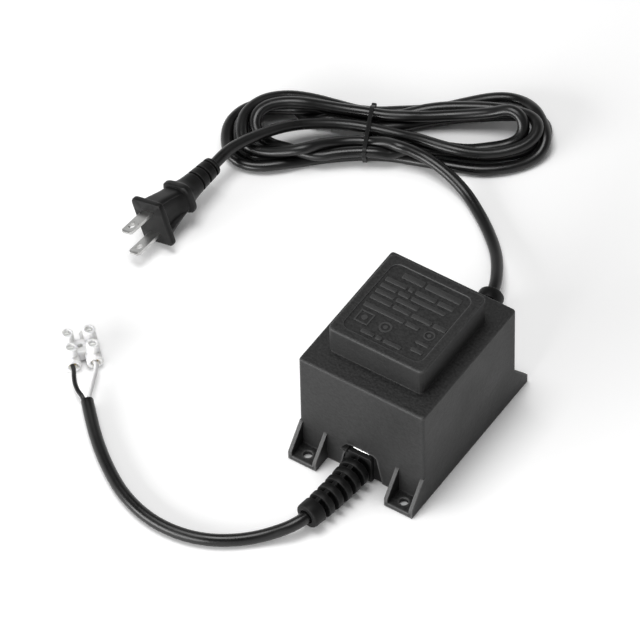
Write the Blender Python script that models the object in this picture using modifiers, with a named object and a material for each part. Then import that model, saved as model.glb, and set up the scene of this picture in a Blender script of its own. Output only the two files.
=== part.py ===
# Encapsulated mains transformer in a screw-down moulded housing.
# The mains lead is tied in a hank and ends in a two-blade plug.
# The output lead ends in a two-pole screw terminal block.
# X runs across the front, Y from front to back, Z up. The housing stands on Z = 0.

import math

import bmesh
import bpy
from mathutils import Matrix, Vector

# Driving dimensions, in metres
GAP = 0.0003                       # left between pieces that touch

# Housing
BODY_WIDTH = 0.068
BODY_DEPTH = 0.079
BODY_HEIGHT = 0.060
WALL = 0.0025
BODY_CORNER_RADIUS = 0.0016
BODY_EDGE_RADIUS = 0.0010
PLATEAU_HEIGHT = 0.0149
PLATEAU_SIDE_STEP = 0.0081         # from the side wall in to the raised top
PLATEAU_END_STEP = 0.0121          # from the front wall in to the raised top
PLATEAU_CORNER_RADIUS = 0.0028
PLATEAU_EDGE_RADIUS = 0.0008
PANEL_MARGIN = 0.0044              # border round the recessed panel on top
PANEL_CORNER_RADIUS = 0.0040
PANEL_DEPTH = 0.0004

# Fixing lugs at the four corners
LUG_WIDTH = 0.01525
LUG_REACH = 0.0101
LUG_PLATE = 0.0024
GUSSET = 0.0018
GUSSET_WALL_HEIGHT = 0.0172
GUSSET_TIP_HEIGHT = 0.0048
GUSSET_TIP_RADIUS = 0.0022
LUG_HOLE_RADIUS = 0.00225
LUG_HOLE_FROM_WALL = 0.00505

# Notch in the front and back walls, which the strain reliefs slide into
NOTCH_FOOT_HALF = 0.0113
NOTCH_TOP_HALF = 0.0077
NOTCH_HEIGHT = 0.0168
NOTCH_CORNER = 0.0012

# Strain reliefs
RELIEF_AXIS_HEIGHT = 0.0080
RELIEF_BLOCK_HALF = 0.0068
RELIEF_BLOCK_TOP = 0.0160
RELIEF_BLOCK_FOOT = 0.0008
RELIEF_BLOCK_REACH = 0.0024
RELIEF_BLOCK_CORNER = 0.0012
RELIEF_PLATE_LAP = 0.0020          # inner plate past the notch's edge
RELIEF_PLATE = 0.0020
RELIEF_LENGTH = 0.0410             # from the wall to the free end
RELIEF_ROOT_RADIUS = 0.0076
RELIEF_END_RADIUS = 0.0063
RELIEF_END_ROUND = 0.0012
RIB_EDGE = 0.0003
GROOVE_COUNT = 6
GROOVE_PITCH = 0.0059
GROOVE_WIDTH = 0.0020
GROOVE_DEPTH = 0.0026
WEB_WIDTH = 0.0040                 # web that bridges the grooves above and below
WEB_BELOW_RIB = 0.0003
RELIEF_MOUTH_DEPTH = 0.0012
MOUTH_CLEARANCE = 0.0006           # round the cord where it leaves the relief
FRONT_RELIEF_SWAY = -0.0037        # how far the free end bends along X
BACK_RELIEF_SWAY = -0.0050

# Transformer inside
CORE_TO_WALL = 0.0040              # potting between the core and the housing's walls
CORE_LID = 0.0020                  # potting between the core and the housing's roof
CORE_ABOVE_BAY = 0.0044            # potting between the core and the wires' bays below it
BOBBIN_WALL = 0.0012
FORMER_CORNER = 0.0004
FLANGE_CORNER = 0.0015
WINDING_CORNER = 0.0020
TAPE = 0.0005
FUSE_RADIUS = 0.0018
FUSE_LENGTH = 0.0100
FUSE_SHOULDER = 0.0006
FUSE_WIRE_RADIUS = 0.0004
FUSE_WIRE = 0.0030
POTTING_RECESS = 0.0015
LEAD_BAY_HALF = 0.0065
LEAD_BAY_FOOT = 0.0045
LEAD_BAY_TOP = 0.0125
INNER_LEAD_RADIUS = 0.0008
INNER_LEAD_FIRST = 0.0028          # from the middle of the housing to the nearer wire
INNER_LEAD_PITCH = 0.0021

# Cords
CORD_RADIUS = 0.00305
CORE_RADIUS = 0.0011

# Hank of the mains cord, on its own axes: U along the hank, V across it
HANK_CENTRE = Vector((-0.1119, 0.1382, 0.0))
HANK_YAW = math.radians(32.6)
HANK_HEIGHT = 0.0124
WAIST_FRONT = -0.0172
WAIST_BACK = 0.0186
TIE_THICKNESS = 0.0009
TIE_WIDTH = 0.0016
TIE_CORNER = 0.0005
HANK_SPACING = 0.006               # between points of the hank's outline

# Plug
PLUG_FACE = Vector((-0.1622, 0.0271, 0.0140))
PLUG_AZIMUTH = math.radians(4.85)
PLUG_ROLL = math.radians(18.4)
PLUG_LENGTH = 0.0466
PLUG_FLANGE_WIDTH = 0.0190
PLUG_FLANGE_HEIGHT = 0.0246
PLUG_FLANGE = 0.0032
PLUG_FLANGE_CORNER = 0.0022
PLUG_EDGE = 0.0006
PLUG_WAIST = [                     # width, height, and share of the way from flange to collar
    (0.0140, 0.0212, 0.0), (0.0132, 0.0190, 0.24), (0.0130, 0.0150, 0.55), (0.0136, 0.0122, 1.0),
]
COLLAR_START = 0.0198
COLLAR = 0.0040
COLLAR_WIDTH = 0.0170
COLLAR_HEIGHT = 0.0160
COLLAR_CORNER = 0.0030
COLLAR_TAPER = 0.0088              # from the collar's start to where its taper ends
NECK_ROOT_RADIUS = 0.0060
NECK_END_RADIUS = 0.0048
NECK_END_ROUND = 0.0010
NECK_GROOVE_FIRST = 0.0320
NECK_GROOVE_PITCH = 0.0052
NECK_GROOVE_COUNT = 3
NECK_GROOVE_WIDTH = 0.0009
NECK_GROOVE_DEPTH = 0.0008
THUMB_PANEL_DEPTH = 0.0010
THUMB_PANEL_HALF = 0.0048
THUMB_PANEL_MARGIN = 0.0025
BLADE_SPACING = 0.0127
BLADE_WIDTH = 0.00635
BLADE_THICKNESS = 0.0015
BLADE_REACH = 0.0164
BLADE_ROOT = 0.0080
BLADE_HOLE_RADIUS = 0.0016
BLADE_HOLE_FROM_FACE = 0.0117
BLADE_TIP_CHAMFER = 0.0010

# Terminal block, on its own axes: X from pole to pole, Y along the wires
BLOCK_CENTRE = Vector((-0.15065, -0.04955, 0.0))
BLOCK_YAW = math.radians(46.0)
BLOCK_LENGTH = 0.0200
POLE_PITCH = 0.0105
BARREL_RADIUS = 0.0039
TUBE_RADIUS = 0.0022
TUBE_WALL = 0.0008
TUBE_LENGTH = 0.0150
TOWER_RADIUS = 0.0031
TOWER_TOP = 0.0124
TOWER_FROM_MIDDLE = 0.0045
BARREL_EDGE = 0.0006
TOWER_EDGE = 0.0004
SCREW_HEAD_RADIUS = 0.0016
SCREW_SHANK_RADIUS = 0.0010
SCREW_HEAD = 0.0018
SCREW_BELOW_TOP = 0.0014
SCREW_SLOT = 0.0006
SCREW_EDGE = 0.0002
BRIDGE_FOOT = 0.0010
BRIDGE_THICKNESS = 0.0060
BRIDGE_LENGTH = 0.0080
BRIDGE_HOLE_RADIUS = 0.0013

# Cord routes, in metres: points chosen along each cord's centre line
OUTPUT_ROUTE = [
    (-0.0036, -0.0798, 0.0080), (-0.0049, -0.0841, 0.0078), (-0.0081, -0.0892, 0.0066),
    (-0.0144, -0.0955, 0.0043), (-0.0205, -0.1013, 0.0033), (-0.0275, -0.1070, 0.0031),
    (-0.0355, -0.1118, 0.0031), (-0.0445, -0.1151, 0.0031), (-0.0545, -0.1167, 0.0031),
    (-0.0652, -0.1163, 0.0031), (-0.0758, -0.1138, 0.0031), (-0.0868, -0.1092, 0.0031),
    (-0.0978, -0.1024, 0.0031), (-0.1080, -0.0947, 0.0031), (-0.1170, -0.0868, 0.0032),
    (-0.1243, -0.0796, 0.0035), (-0.1300, -0.0738, 0.0040),
]
LEAD_ROUTE = [
    (-0.0049, 0.0797, 0.0080), (-0.0067, 0.0853, 0.0078), (-0.0102, 0.0923, 0.0069),
    (-0.0150, 0.0998, 0.0054), (-0.0210, 0.1075, 0.0040), (-0.0300, 0.1160, 0.0032),
    (-0.0400, 0.1229, 0.0032), (-0.0500, 0.1287, 0.0038), (-0.0594, 0.1328, 0.0050),
    (-0.0690, 0.1353, 0.0068),
]
TAIL_ROUTE = [
    (-0.1582, 0.0743, 0.0141), (-0.1577, 0.0798, 0.0146), (-0.1567, 0.0865, 0.0155),
    (-0.1543, 0.0945, 0.0160), (-0.1508, 0.1022, 0.0161), (-0.1462, 0.1095, 0.0160),
]
BLACK_CORE_ROUTE = [
    (-0.13160, -0.07430, 0.0040), (-0.1336, -0.0730, 0.0045), (-0.1366, -0.0716, 0.0047),
    (-0.1400, -0.0690, 0.0046), (-0.1431, -0.0656, 0.0044), (-0.1459, -0.0618, 0.0042),
    (-0.14860, -0.05920, 0.0041), (-0.15280, -0.05514, 0.0041),
]
WHITE_CORE_ROUTE = [
    (-0.12970, -0.07230, 0.0040), (-0.1311, -0.0701, 0.0045), (-0.1325, -0.0668, 0.0047),
    (-0.1346, -0.0621, 0.0046), (-0.1370, -0.0568, 0.0044), (-0.1394, -0.0530, 0.0042),
    (-0.14130, -0.05164, 0.0041), (-0.14549, -0.04758, 0.0041),
]

# Outline of the hank, as (U, V) in metres: pinched at the tie, round at both ends
HANK_OUTLINE = [
    (0.000, WAIST_BACK), (-0.014, 0.0215), (-0.030, 0.0262), (-0.045, 0.0252), (-0.058, 0.0178),
    (-0.0685, 0.0080), (-0.0718, -0.0045), (-0.0665, -0.0160), (-0.055, -0.0222),
    (-0.040, -0.0232), (-0.020, -0.0190), (0.000, WAIST_FRONT), (0.018, -0.0185),
    (0.036, -0.0226), (0.056, -0.0252), (0.073, -0.0222), (0.0845, -0.0120), (0.0880, 0.0020),
    (0.0855, 0.0130), (0.0780, 0.0225), (0.066, 0.0272), (0.050, 0.0262), (0.024, 0.0208),
]

# Places that follow from the sizes above
WALL_Y = BODY_DEPTH / 2
TOTAL_HEIGHT = BODY_HEIGHT + PLATEAU_HEIGHT
ROOF_Z = BODY_HEIGHT - WALL
PLATEAU_ROOF_Z = TOTAL_HEIGHT - WALL
CORE_TOP = ROOF_Z - GAP - CORE_LID - GAP
CORE_BOTTOM = LEAD_BAY_TOP + CORE_ABOVE_BAY
STACK_HEIGHT = CORE_TOP - CORE_BOTTOM
CORE_MIDDLE_Z = (CORE_TOP + CORE_BOTTOM) / 2
# The lamination is 5 units by 6, as large as the housing takes
LAMINATION_UNIT = min((BODY_WIDTH / 2 - WALL - CORE_TO_WALL) / 2.5, (WALL_Y - WALL - CORE_TO_WALL) / 3)
WINDING_BUILD = LAMINATION_UNIT - BOBBIN_WALL - TAPE - 5 * GAP
BARREL_Z = BARREL_RADIUS + 0.0002
BLOCK_BORE_RADIUS = TUBE_RADIUS + GAP

PARTS = "waterproof_power_supply"
TOOLS = "cutters"


def clear_scene():
    for item in list(bpy.data.objects):
        bpy.data.objects.remove(item, do_unlink=True)
    for name in (PARTS, TOOLS):
        collection = bpy.data.collections.new(name)
        bpy.context.scene.collection.children.link(collection)


def material(name, colour, roughness, metallic=0.0):
    made = bpy.data.materials.new(name)
    made.use_nodes = True
    shader = made.node_tree.nodes["Principled BSDF"]
    shader.inputs["Base Color"].default_value = (*colour, 1.0)
    shader.inputs["Roughness"].default_value = roughness
    shader.inputs["Metallic"].default_value = metallic
    return made


def link(obj, collection=PARTS, finish=None):
    bpy.data.collections[collection].objects.link(obj)
    if finish is not None:
        obj.data.materials.clear()
        obj.data.materials.append(finish)
    return obj


def as_tool(obj):
    # A tool is a solid that another one is cut or joined with
    obj.hide_render = True
    obj.display_type = "WIRE"
    return obj


def mesh_from(name, bm, collection=TOOLS):
    mesh = bpy.data.meshes.new(name)
    bm.to_mesh(mesh)
    bm.free()
    obj = link(bpy.data.objects.new(name, mesh), collection)
    if collection == TOOLS:
        as_tool(obj)
    return obj


def box(name, low, high, collection=TOOLS):
    bm = bmesh.new()
    bmesh.ops.create_cube(bm, size=1.0)
    size = Vector(high) - Vector(low)
    middle = (Vector(high) + Vector(low)) / 2
    bmesh.ops.scale(bm, vec=size, verts=bm.verts)
    bmesh.ops.translate(bm, vec=middle, verts=bm.verts)
    return mesh_from(name, bm, collection)


def round_edges(bm, edges, radius, segments):
    bmesh.ops.bevel(bm, geom=edges, offset=radius, offset_type="OFFSET", segments=segments,
                    profile=0.5, affect="EDGES", clamp_overlap=True)


def round_box(name, low, high, corner_radius, edge_radius, collection=TOOLS):
    # Box with rounded upright edges and a smaller round along its top edges
    bm = bmesh.new()
    bmesh.ops.create_cube(bm, size=1.0)
    bmesh.ops.scale(bm, vec=Vector(high) - Vector(low), verts=bm.verts)
    bmesh.ops.translate(bm, vec=(Vector(high) + Vector(low)) / 2, verts=bm.verts)
    posts = [e for e in bm.edges if abs(e.verts[0].co.z - e.verts[1].co.z) > 1e-6]
    round_edges(bm, posts, corner_radius, 4)
    top = [e for e in bm.edges if min(v.co.z for v in e.verts) > high[2] - 1e-6]
    round_edges(bm, top, edge_radius, 3)
    return mesh_from(name, bm, collection)


def cylinder(name, radius, low, high, axis, sides=32, collection=TOOLS):
    # Straight cylinder from low to high along one axis, through the point given by both
    low = Vector(low)
    high = Vector(high)
    bm = bmesh.new()
    bmesh.ops.create_cone(bm, cap_ends=True, segments=sides, radius1=radius, radius2=radius,
                          depth=(high - low).length)
    turn = {"X": Matrix.Rotation(math.pi / 2, 4, "Y"), "Y": Matrix.Rotation(math.pi / 2, 4, "X"),
            "Z": Matrix.Identity(4)}[axis]
    bmesh.ops.transform(bm, matrix=Matrix.Translation((low + high) / 2) @ turn, verts=bm.verts)
    return mesh_from(name, bm, collection)


def evaluated_mesh(obj):
    graph = bpy.context.evaluated_depsgraph_get()
    return bpy.data.meshes.new_from_object(obj.evaluated_get(graph))


def bake(obj):
    # Apply every modifier of a mesh object, and keep its place
    mesh = evaluated_mesh(obj)
    obj.modifiers.clear()
    obj.data = mesh
    return obj


def curve_to_mesh(obj, name, collection):
    mesh = evaluated_mesh(obj)
    bm = bmesh.new()
    bm.from_mesh(mesh)
    bmesh.ops.remove_doubles(bm, verts=bm.verts, dist=1e-6)
    bmesh.ops.recalc_face_normals(bm, faces=bm.faces)
    place = obj.matrix_world.copy()
    bpy.data.objects.remove(obj, do_unlink=True)
    made = mesh_from(name, bm, collection)
    made.matrix_world = place
    return made


def plate(name, outlines, low, high, collection=TOOLS):
    # Flat outlines in local XY, filled and made solid from low to high along local Z
    curve = bpy.data.curves.new(name + "_outline", "CURVE")
    curve.dimensions = "2D"
    curve.fill_mode = "BOTH"
    curve.extrude = (high - low) / 2
    for outline in outlines:
        spline = curve.splines.new("POLY")
        spline.points.add(len(outline) - 1)
        for point, (x, y) in zip(spline.points, outline):
            point.co = (x, y, 0.0, 1.0)
        spline.use_cyclic_u = True
    flat = link(bpy.data.objects.new(name + "_outline", curve), TOOLS)
    bpy.context.view_layer.update()
    made = curve_to_mesh(flat, name, collection)
    made.data.transform(Matrix.Translation((0.0, 0.0, (low + high) / 2)))
    return made


def turned(name, profile, sides, collection=TOOLS):
    # Profile of (radius, z) from top to bottom, turned about local Z
    mesh = bpy.data.meshes.new(name)
    points = [(radius, 0.0, z) for radius, z in profile]
    mesh.from_pydata(points, [(i, i + 1) for i in range(len(points) - 1)], [])
    obj = link(bpy.data.objects.new(name, mesh), collection)
    screw = obj.modifiers.new("turn", "SCREW")
    screw.steps = sides
    screw.render_steps = sides
    screw.use_merge_vertices = True
    screw.merge_threshold = 1e-6
    screw.use_normal_calculate = True
    bpy.context.view_layer.update()
    bake(obj)
    if collection == TOOLS:
        as_tool(obj)
    return obj


def combine(target, tools, operation):
    for tool in tools:
        change = target.modifiers.new(operation.lower(), "BOOLEAN")
        change.operation = operation
        change.solver = "EXACT"
        change.object = tool
    return target


def join(target, *tools):
    return combine(target, tools, "UNION")


def cut(target, *tools):
    return combine(target, tools, "DIFFERENCE")


def finish_part(obj, finish, angle=35.0):
    # Move a finished solid to the parts, give it its material and shade it
    bpy.context.view_layer.update()
    bake(obj)
    for owner in list(obj.users_collection):
        owner.objects.unlink(obj)
    link(obj, PARTS, finish)
    obj.hide_render = False
    obj.display_type = "TEXTURED"
    obj.data.shade_smooth()
    obj.data.set_sharp_from_angle(angle=math.radians(angle))
    return obj


def rounded_rectangle(low, high, radius, steps=4):
    # Outline of a rectangle with arcs at its corners, as (x, y) points
    points = []
    corners = [(high[0] - radius, high[1] - radius, 0), (low[0] + radius, high[1] - radius, 90),
               (low[0] + radius, low[1] + radius, 180), (high[0] - radius, low[1] + radius, 270)]
    for x, y, start in corners:
        for i in range(steps + 1):
            angle = math.radians(start + 90 * i / steps)
            points.append((x + radius * math.cos(angle), y + radius * math.sin(angle)))
    return points


def smooth_line(points, spacing, closed=False):
    # Points along a smooth curve through the given ones, about one spacing apart
    points = [Vector(p) for p in points]
    count = len(points)
    spans = count if closed else count - 1
    line = []
    for i in range(spans):
        near = points[i]
        far = points[(i + 1) % count]
        before = points[(i - 1) % count] if closed or i > 0 else near * 2 - far
        after = points[(i + 2) % count] if closed or i + 2 < count else far * 2 - near
        steps = max(1, round((far - near).length / spacing))
        for step in range(steps):
            t = step / steps
            line.append(0.5 * ((2 * near) + (far - before) * t
                               + (2 * before - 5 * near + 4 * far - after) * t ** 2
                               + (3 * near - before - 3 * far + after) * t ** 3))
    if not closed:
        line.append(points[-1])
    return line


def tube(name, route, radius, finish, spacing, resolution):
    # Round cord along a route, closed at both ends
    line = smooth_line(route, spacing)
    curve = bpy.data.curves.new(name, "CURVE")
    curve.dimensions = "3D"
    curve.bevel_depth = radius
    curve.bevel_resolution = resolution
    curve.use_fill_caps = True
    spline = curve.splines.new("POLY")
    spline.points.add(len(line) - 1)
    for point, place in zip(spline.points, line):
        point.co = (*place, 1.0)
    return link(bpy.data.objects.new(name, curve), PARTS, finish)


def lug_wedge(name, side, front):
    # Side view of a gusset, made as wide as the lug
    sweep = math.pi / 2 - math.atan2(GUSSET_WALL_HEIGHT - GUSSET_TIP_HEIGHT, LUG_REACH)
    centre_out = LUG_REACH - GUSSET_TIP_RADIUS
    centre_up = GUSSET_TIP_HEIGHT - GUSSET_TIP_RADIUS * math.tan(sweep / 2)
    arc = []
    for i in range(5):
        angle = sweep * i / 4
        arc.append((centre_out + GUSSET_TIP_RADIUS * math.cos(angle),
                    centre_up + GUSSET_TIP_RADIUS * math.sin(angle)))
    outline = [(-WALL, 0.0), (LUG_REACH, 0.0)] + arc
    outline += [(0.0, GUSSET_WALL_HEIGHT), (-WALL, GUSSET_WALL_HEIGHT)]
    outer = BODY_WIDTH / 2
    wedge = plate(name, [outline], outer - LUG_WIDTH, outer)
    # Local X points out of the wall and local Y up, so the plate's thickness lies along X
    stand = Matrix(((0, 0, side, 0), (front, 0, 0, front * WALL_Y), (0, 1, 0, 0), (0, 0, 0, 1)))
    wedge.data.transform(stand)
    if stand.determinant() < 0:
        wedge.data.flip_normals()
    return wedge


def lug_cutters(name, side, front):
    # Pocket between the two gussets, above the plate, and the screw hole through the plate
    outer = BODY_WIDTH / 2
    inner = outer - LUG_WIDTH
    xs = sorted((side * (inner + GUSSET), side * (outer - GUSSET)))
    ys = sorted((front * WALL_Y, front * (WALL_Y + 2 * LUG_REACH)))
    pocket = box(name + "_pocket", (xs[0], ys[0], LUG_PLATE), (xs[1], ys[1], BODY_HEIGHT))
    x = side * (outer - LUG_WIDTH / 2)
    y = front * (WALL_Y + LUG_HOLE_FROM_WALL)
    hole = cylinder(name + "_hole", LUG_HOLE_RADIUS, (x, y, -WALL), (x, y, LUG_PLATE + WALL), "Z", 24)
    return pocket, hole


def notch_outline(margin):
    # The notch in the end walls, in (x, height); margin grows it on all sides but its foot
    foot = NOTCH_FOOT_HALF + margin
    top = NOTCH_TOP_HALF + margin
    height = NOTCH_HEIGHT + margin
    corner = NOTCH_CORNER
    return [(-foot, 0.0), (foot, 0.0), (top + corner / 3, height - corner), (top - corner, height),
            (-top + corner, height), (-top - corner / 3, height - corner)]


def upright(obj, front):
    # Stand a solid made in local XY against an end wall: local Z points out of the wall
    face = Matrix.Rotation(math.pi / 2, 4, "X")
    if front > 0:
        face = Matrix.Rotation(math.pi, 4, "Z") @ face
    obj.data.transform(Matrix.Translation((0.0, front * WALL_Y, 0.0)) @ face)
    return obj


def build_housing(finish):
    half_x = BODY_WIDTH / 2
    body = round_box("housing", (-half_x, -WALL_Y, 0.0), (half_x, WALL_Y, BODY_HEIGHT),
                     BODY_CORNER_RADIUS, BODY_EDGE_RADIUS)
    top_x = half_x - PLATEAU_SIDE_STEP
    top_y = WALL_Y - PLATEAU_END_STEP
    plateau = round_box("plateau", (-top_x, -top_y, BODY_HEIGHT - WALL), (top_x, top_y, TOTAL_HEIGHT),
                        PLATEAU_CORNER_RADIUS, PLATEAU_EDGE_RADIUS)
    join(body, plateau)
    for side in (-1, 1):
        for front in (-1, 1):
            name = f"lug_{side}_{front}"
            join(body, lug_wedge(name, side, front))
            cut(body, *lug_cutters(name, side, front))
    inner_x = half_x - WALL
    inner_y = WALL_Y - WALL
    cut(body, box("cavity", (-inner_x, -inner_y, -WALL), (inner_x, inner_y, ROOF_Z)))
    cut(body, box("plateau_cavity", (-top_x + WALL, -top_y + WALL, ROOF_Z - WALL),
                  (top_x - WALL, top_y - WALL, PLATEAU_ROOF_Z)))
    for front in (-1, 1):
        notch = plate(f"notch_{front}", [extend_foot(notch_outline(0.0))], -2 * WALL, 2 * WALL)
        cut(body, upright(notch, front))
    panel = rounded_rectangle((-top_x + PANEL_MARGIN, -top_y + PANEL_MARGIN),
                              (top_x - PANEL_MARGIN, top_y - PANEL_MARGIN), PANEL_CORNER_RADIUS)
    cut(body, plate("panel", [panel], TOTAL_HEIGHT - PANEL_DEPTH, TOTAL_HEIGHT + WALL))
    return finish_part(body, finish)


def extend_foot(outline):
    # Carry a cutter's outline below the foot, so that it leaves no skin there
    (left, foot), (right, _) = outline[:2]
    return [(left, foot - WALL), (right, foot - WALL), (right, foot)] + outline[2:] + [(left, foot)]


def sway(obj, start, length, offset):
    # Bend everything beyond start along local Z, so that the end moves by offset along X
    angle = 2 * math.asin(max(-0.5, min(0.5, offset / length)))
    radius = length / angle
    for vertex in obj.data.vertices:
        x, y, z = vertex.co
        if z <= start:
            continue
        turn = (z - start) / radius
        vertex.co = (radius * (1 - math.cos(turn)) + x * math.cos(turn), y,
                     start + radius * math.sin(turn) - x * math.sin(turn))
    return obj


def relief_radius(z):
    # Outer radius of the tapered ribs at a distance from the wall
    share = (z - RELIEF_BLOCK_REACH) / (RELIEF_LENGTH - RELIEF_BLOCK_REACH)
    return RELIEF_ROOT_RADIUS + (RELIEF_END_RADIUS - RELIEF_ROOT_RADIUS) * share


def relief_profile():
    # Half section of the ribs and grooves, from the free end back to the wall
    end = RELIEF_LENGTH
    profile = [(0.0, end), (relief_radius(end) - RELIEF_END_ROUND, end)]
    for i in range(1, 4):
        angle = math.radians(90 * i / 3)
        profile.append((relief_radius(end) - RELIEF_END_ROUND * (1 - math.sin(angle)),
                        end - RELIEF_END_ROUND * (1 - math.cos(angle))))
    for k in reversed(range(GROOVE_COUNT)):
        near = RELIEF_BLOCK_REACH + k * GROOVE_PITCH
        far = near + GROOVE_WIDTH
        profile += [(relief_radius(far), far + RIB_EDGE), (relief_radius(far) - RIB_EDGE, far),
                    (relief_radius(far) - GROOVE_DEPTH, far), (relief_radius(near) - GROOVE_DEPTH, near)]
        if k:
            profile += [(relief_radius(near) - RIB_EDGE, near), (relief_radius(near), near - RIB_EDGE)]
    root = -WALL / 2
    profile += [(relief_radius(0.0) - GROOVE_DEPTH, root), (0.0, root)]
    return profile


def relief_web():
    # Tapered fin through the axis that bridges every groove above and below
    start = RELIEF_BLOCK_REACH / 2
    stop = RELIEF_BLOCK_REACH + (GROOVE_COUNT - 1) * GROOVE_PITCH + 1.5 * GROOVE_WIDTH
    bm = bmesh.new()
    bmesh.ops.create_cube(bm, size=1.0)
    for vertex in bm.verts:
        z = start if vertex.co.z < 0 else stop
        reach = relief_radius(z) - WEB_BELOW_RIB
        vertex.co = (math.copysign(WEB_WIDTH / 2, vertex.co.x), math.copysign(reach, vertex.co.y), z)
    return mesh_from("relief_web", bm)


def build_relief(name, front, sway_x, finish):
    # Moulded strain relief: inner plate, neck in the notch, block outside, tapered ribs
    inner = -(WALL + GAP)
    neck = plate(name, [lift_foot(notch_outline(-GAP))], inner, GAP)
    plate_outline = lift_foot(notch_outline(RELIEF_PLATE_LAP))
    inner_plate = plate(name + "_inner_plate", [plate_outline], inner - RELIEF_PLATE, inner + GAP / 2)
    block_outline = rounded_rectangle((-RELIEF_BLOCK_HALF, RELIEF_BLOCK_FOOT),
                                      (RELIEF_BLOCK_HALF, RELIEF_BLOCK_TOP), RELIEF_BLOCK_CORNER)
    block = plate(name + "_block", [block_outline], -WALL / 2, RELIEF_BLOCK_REACH)
    ribs = turned(name + "_ribs", relief_profile(), 28)
    web = relief_web()
    mouth = cylinder(name + "_mouth", CORD_RADIUS + MOUTH_CLEARANCE,
                     (0, 0, RELIEF_LENGTH - RELIEF_MOUTH_DEPTH), (0, 0, RELIEF_LENGTH + WALL), "Z", 24)
    raise_axis = Matrix.Translation((0.0, RELIEF_AXIS_HEIGHT, 0.0))
    for item in (ribs, web, mouth):
        item.data.transform(raise_axis)
    join(neck, inner_plate, block, ribs, web)
    cut(neck, mouth)
    bpy.context.view_layer.update()
    bake(neck)
    sway(neck, RELIEF_BLOCK_REACH, RELIEF_LENGTH - RELIEF_BLOCK_REACH, -front * sway_x)
    upright(neck, front)
    return finish_part(neck, finish)


def lift_foot(outline):
    # Keep the foot of a moulding just clear of the surface that the housing stands on
    (left, _), (right, _) = outline[:2]
    return [(left, GAP), (right, GAP)] + outline[2:]


def bobbin_half_sizes():
    # Half sizes of the bobbin's tube and flange, across Y and Z
    tube_y = LAMINATION_UNIT + GAP + BOBBIN_WALL
    tube_z = STACK_HEIGHT / 2 + GAP + BOBBIN_WALL
    build = WINDING_BUILD + TAPE + 3 * GAP
    return tube_y, tube_z, tube_y + build, tube_z + build


def build_potting(finish):
    # Cast filling, with pockets for the transformer and bays for the wires
    inner_x = BODY_WIDTH / 2 - WALL - GAP
    inner_y = WALL_Y - WALL - GAP
    potting = box("potting_compound", (-inner_x, -inner_y, POTTING_RECESS), (inner_x, inner_y, ROOF_Z - GAP))
    top_x = inner_x - PLATEAU_SIDE_STEP
    top_y = inner_y - PLATEAU_END_STEP
    top = box("potting_top", (-top_x, -top_y, ROOF_Z - CORE_LID), (top_x, top_y, PLATEAU_ROOF_Z - GAP))
    join(potting, top)
    core_x = 2.5 * LAMINATION_UNIT + 2 * GAP
    core_y = 3 * LAMINATION_UNIT + GAP
    core = box("core_pocket", (-core_x, -core_y, CORE_BOTTOM - GAP), (core_x, core_y, CORE_TOP + GAP))
    _, _, flange_y, flange_z = bobbin_half_sizes()
    pocket = box("winding_pocket", (-1.5 * LAMINATION_UNIT, -flange_y - GAP, CORE_MIDDLE_Z - flange_z - GAP),
                 (1.5 * LAMINATION_UNIT, flange_y + GAP, CORE_MIDDLE_Z + flange_z + 2 * FUSE_RADIUS + GAP))
    cut(potting, core, pocket)
    for front in (-1, 1):
        seat = plate(f"plate_seat_{front}", [extend_foot(notch_outline(RELIEF_PLATE_LAP + GAP))],
                     -(WALL + 2 * GAP + RELIEF_PLATE), WALL)
        bay_ys = sorted((front * (WALL_Y - WALL - RELIEF_PLATE), front * flange_y))
        bay = box(f"lead_bay_{front}", (-LEAD_BAY_HALF, bay_ys[0], LEAD_BAY_FOOT),
                  (LEAD_BAY_HALF, bay_ys[1], LEAD_BAY_TOP))
        cut(potting, upright(seat, front), bay)
    return finish_part(potting, finish)


def stand_on_x(obj, x):
    # Turn a solid made in local XY so that local Z lies along X: local X to Y, local Y to Z
    obj.data.transform(Matrix(((0, 0, 1, x), (1, 0, 0, 0), (0, 1, 0, CORE_MIDDLE_Z), (0, 0, 0, 1))))
    return obj


def centred(half_y, half_z, radius):
    return rounded_rectangle((-half_y, -half_z), (half_y, half_z), radius, 3)


def build_core(finish):
    # Laminated core: the E pieces and the I pieces, each stack as one solid
    unit = LAMINATION_UNIT
    shift = -2.5 * unit
    e_outline = [(0, -3), (4, -3), (4, -2), (1, -2), (1, -1), (4, -1), (4, 1), (1, 1), (1, 2), (4, 2),
                 (4, 3), (0, 3)]
    e_points = [(shift + x * unit, y * unit) for x, y in e_outline]
    e_stack = plate("core_e_stack", [e_points], CORE_BOTTOM, CORE_TOP)
    i_points = [(shift + x * unit + (GAP if x == 4 else 0), y * unit)
                for x, y in ((4, -3), (5, -3), (5, 3), (4, 3))]
    i_stack = plate("core_i_stack", [i_points], CORE_BOTTOM, CORE_TOP)
    return [finish_part(e_stack, finish), finish_part(i_stack, finish)]


def build_bobbin(finish):
    # Split former: one tube, a flange at each end and one in the middle
    unit = LAMINATION_UNIT
    tube_y, tube_z, flange_y, flange_z = bobbin_half_sizes()
    half = 1.5 * unit - GAP
    hole = centred(unit + GAP, STACK_HEIGHT / 2 + GAP, GAP / 3)
    bobbin = plate("bobbin", [centred(tube_y, tube_z, FORMER_CORNER), hole], -half, half)
    stand_on_x(bobbin, 0.0)
    for number, low in enumerate((-half, -BOBBIN_WALL / 2, half - BOBBIN_WALL)):
        rim = centred(flange_y, flange_z, FLANGE_CORNER)
        flange = plate(f"flange_{number}", [rim, hole], low, low + BOBBIN_WALL)
        join(bobbin, stand_on_x(flange, 0.0))
    return finish_part(bobbin, finish)


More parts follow.
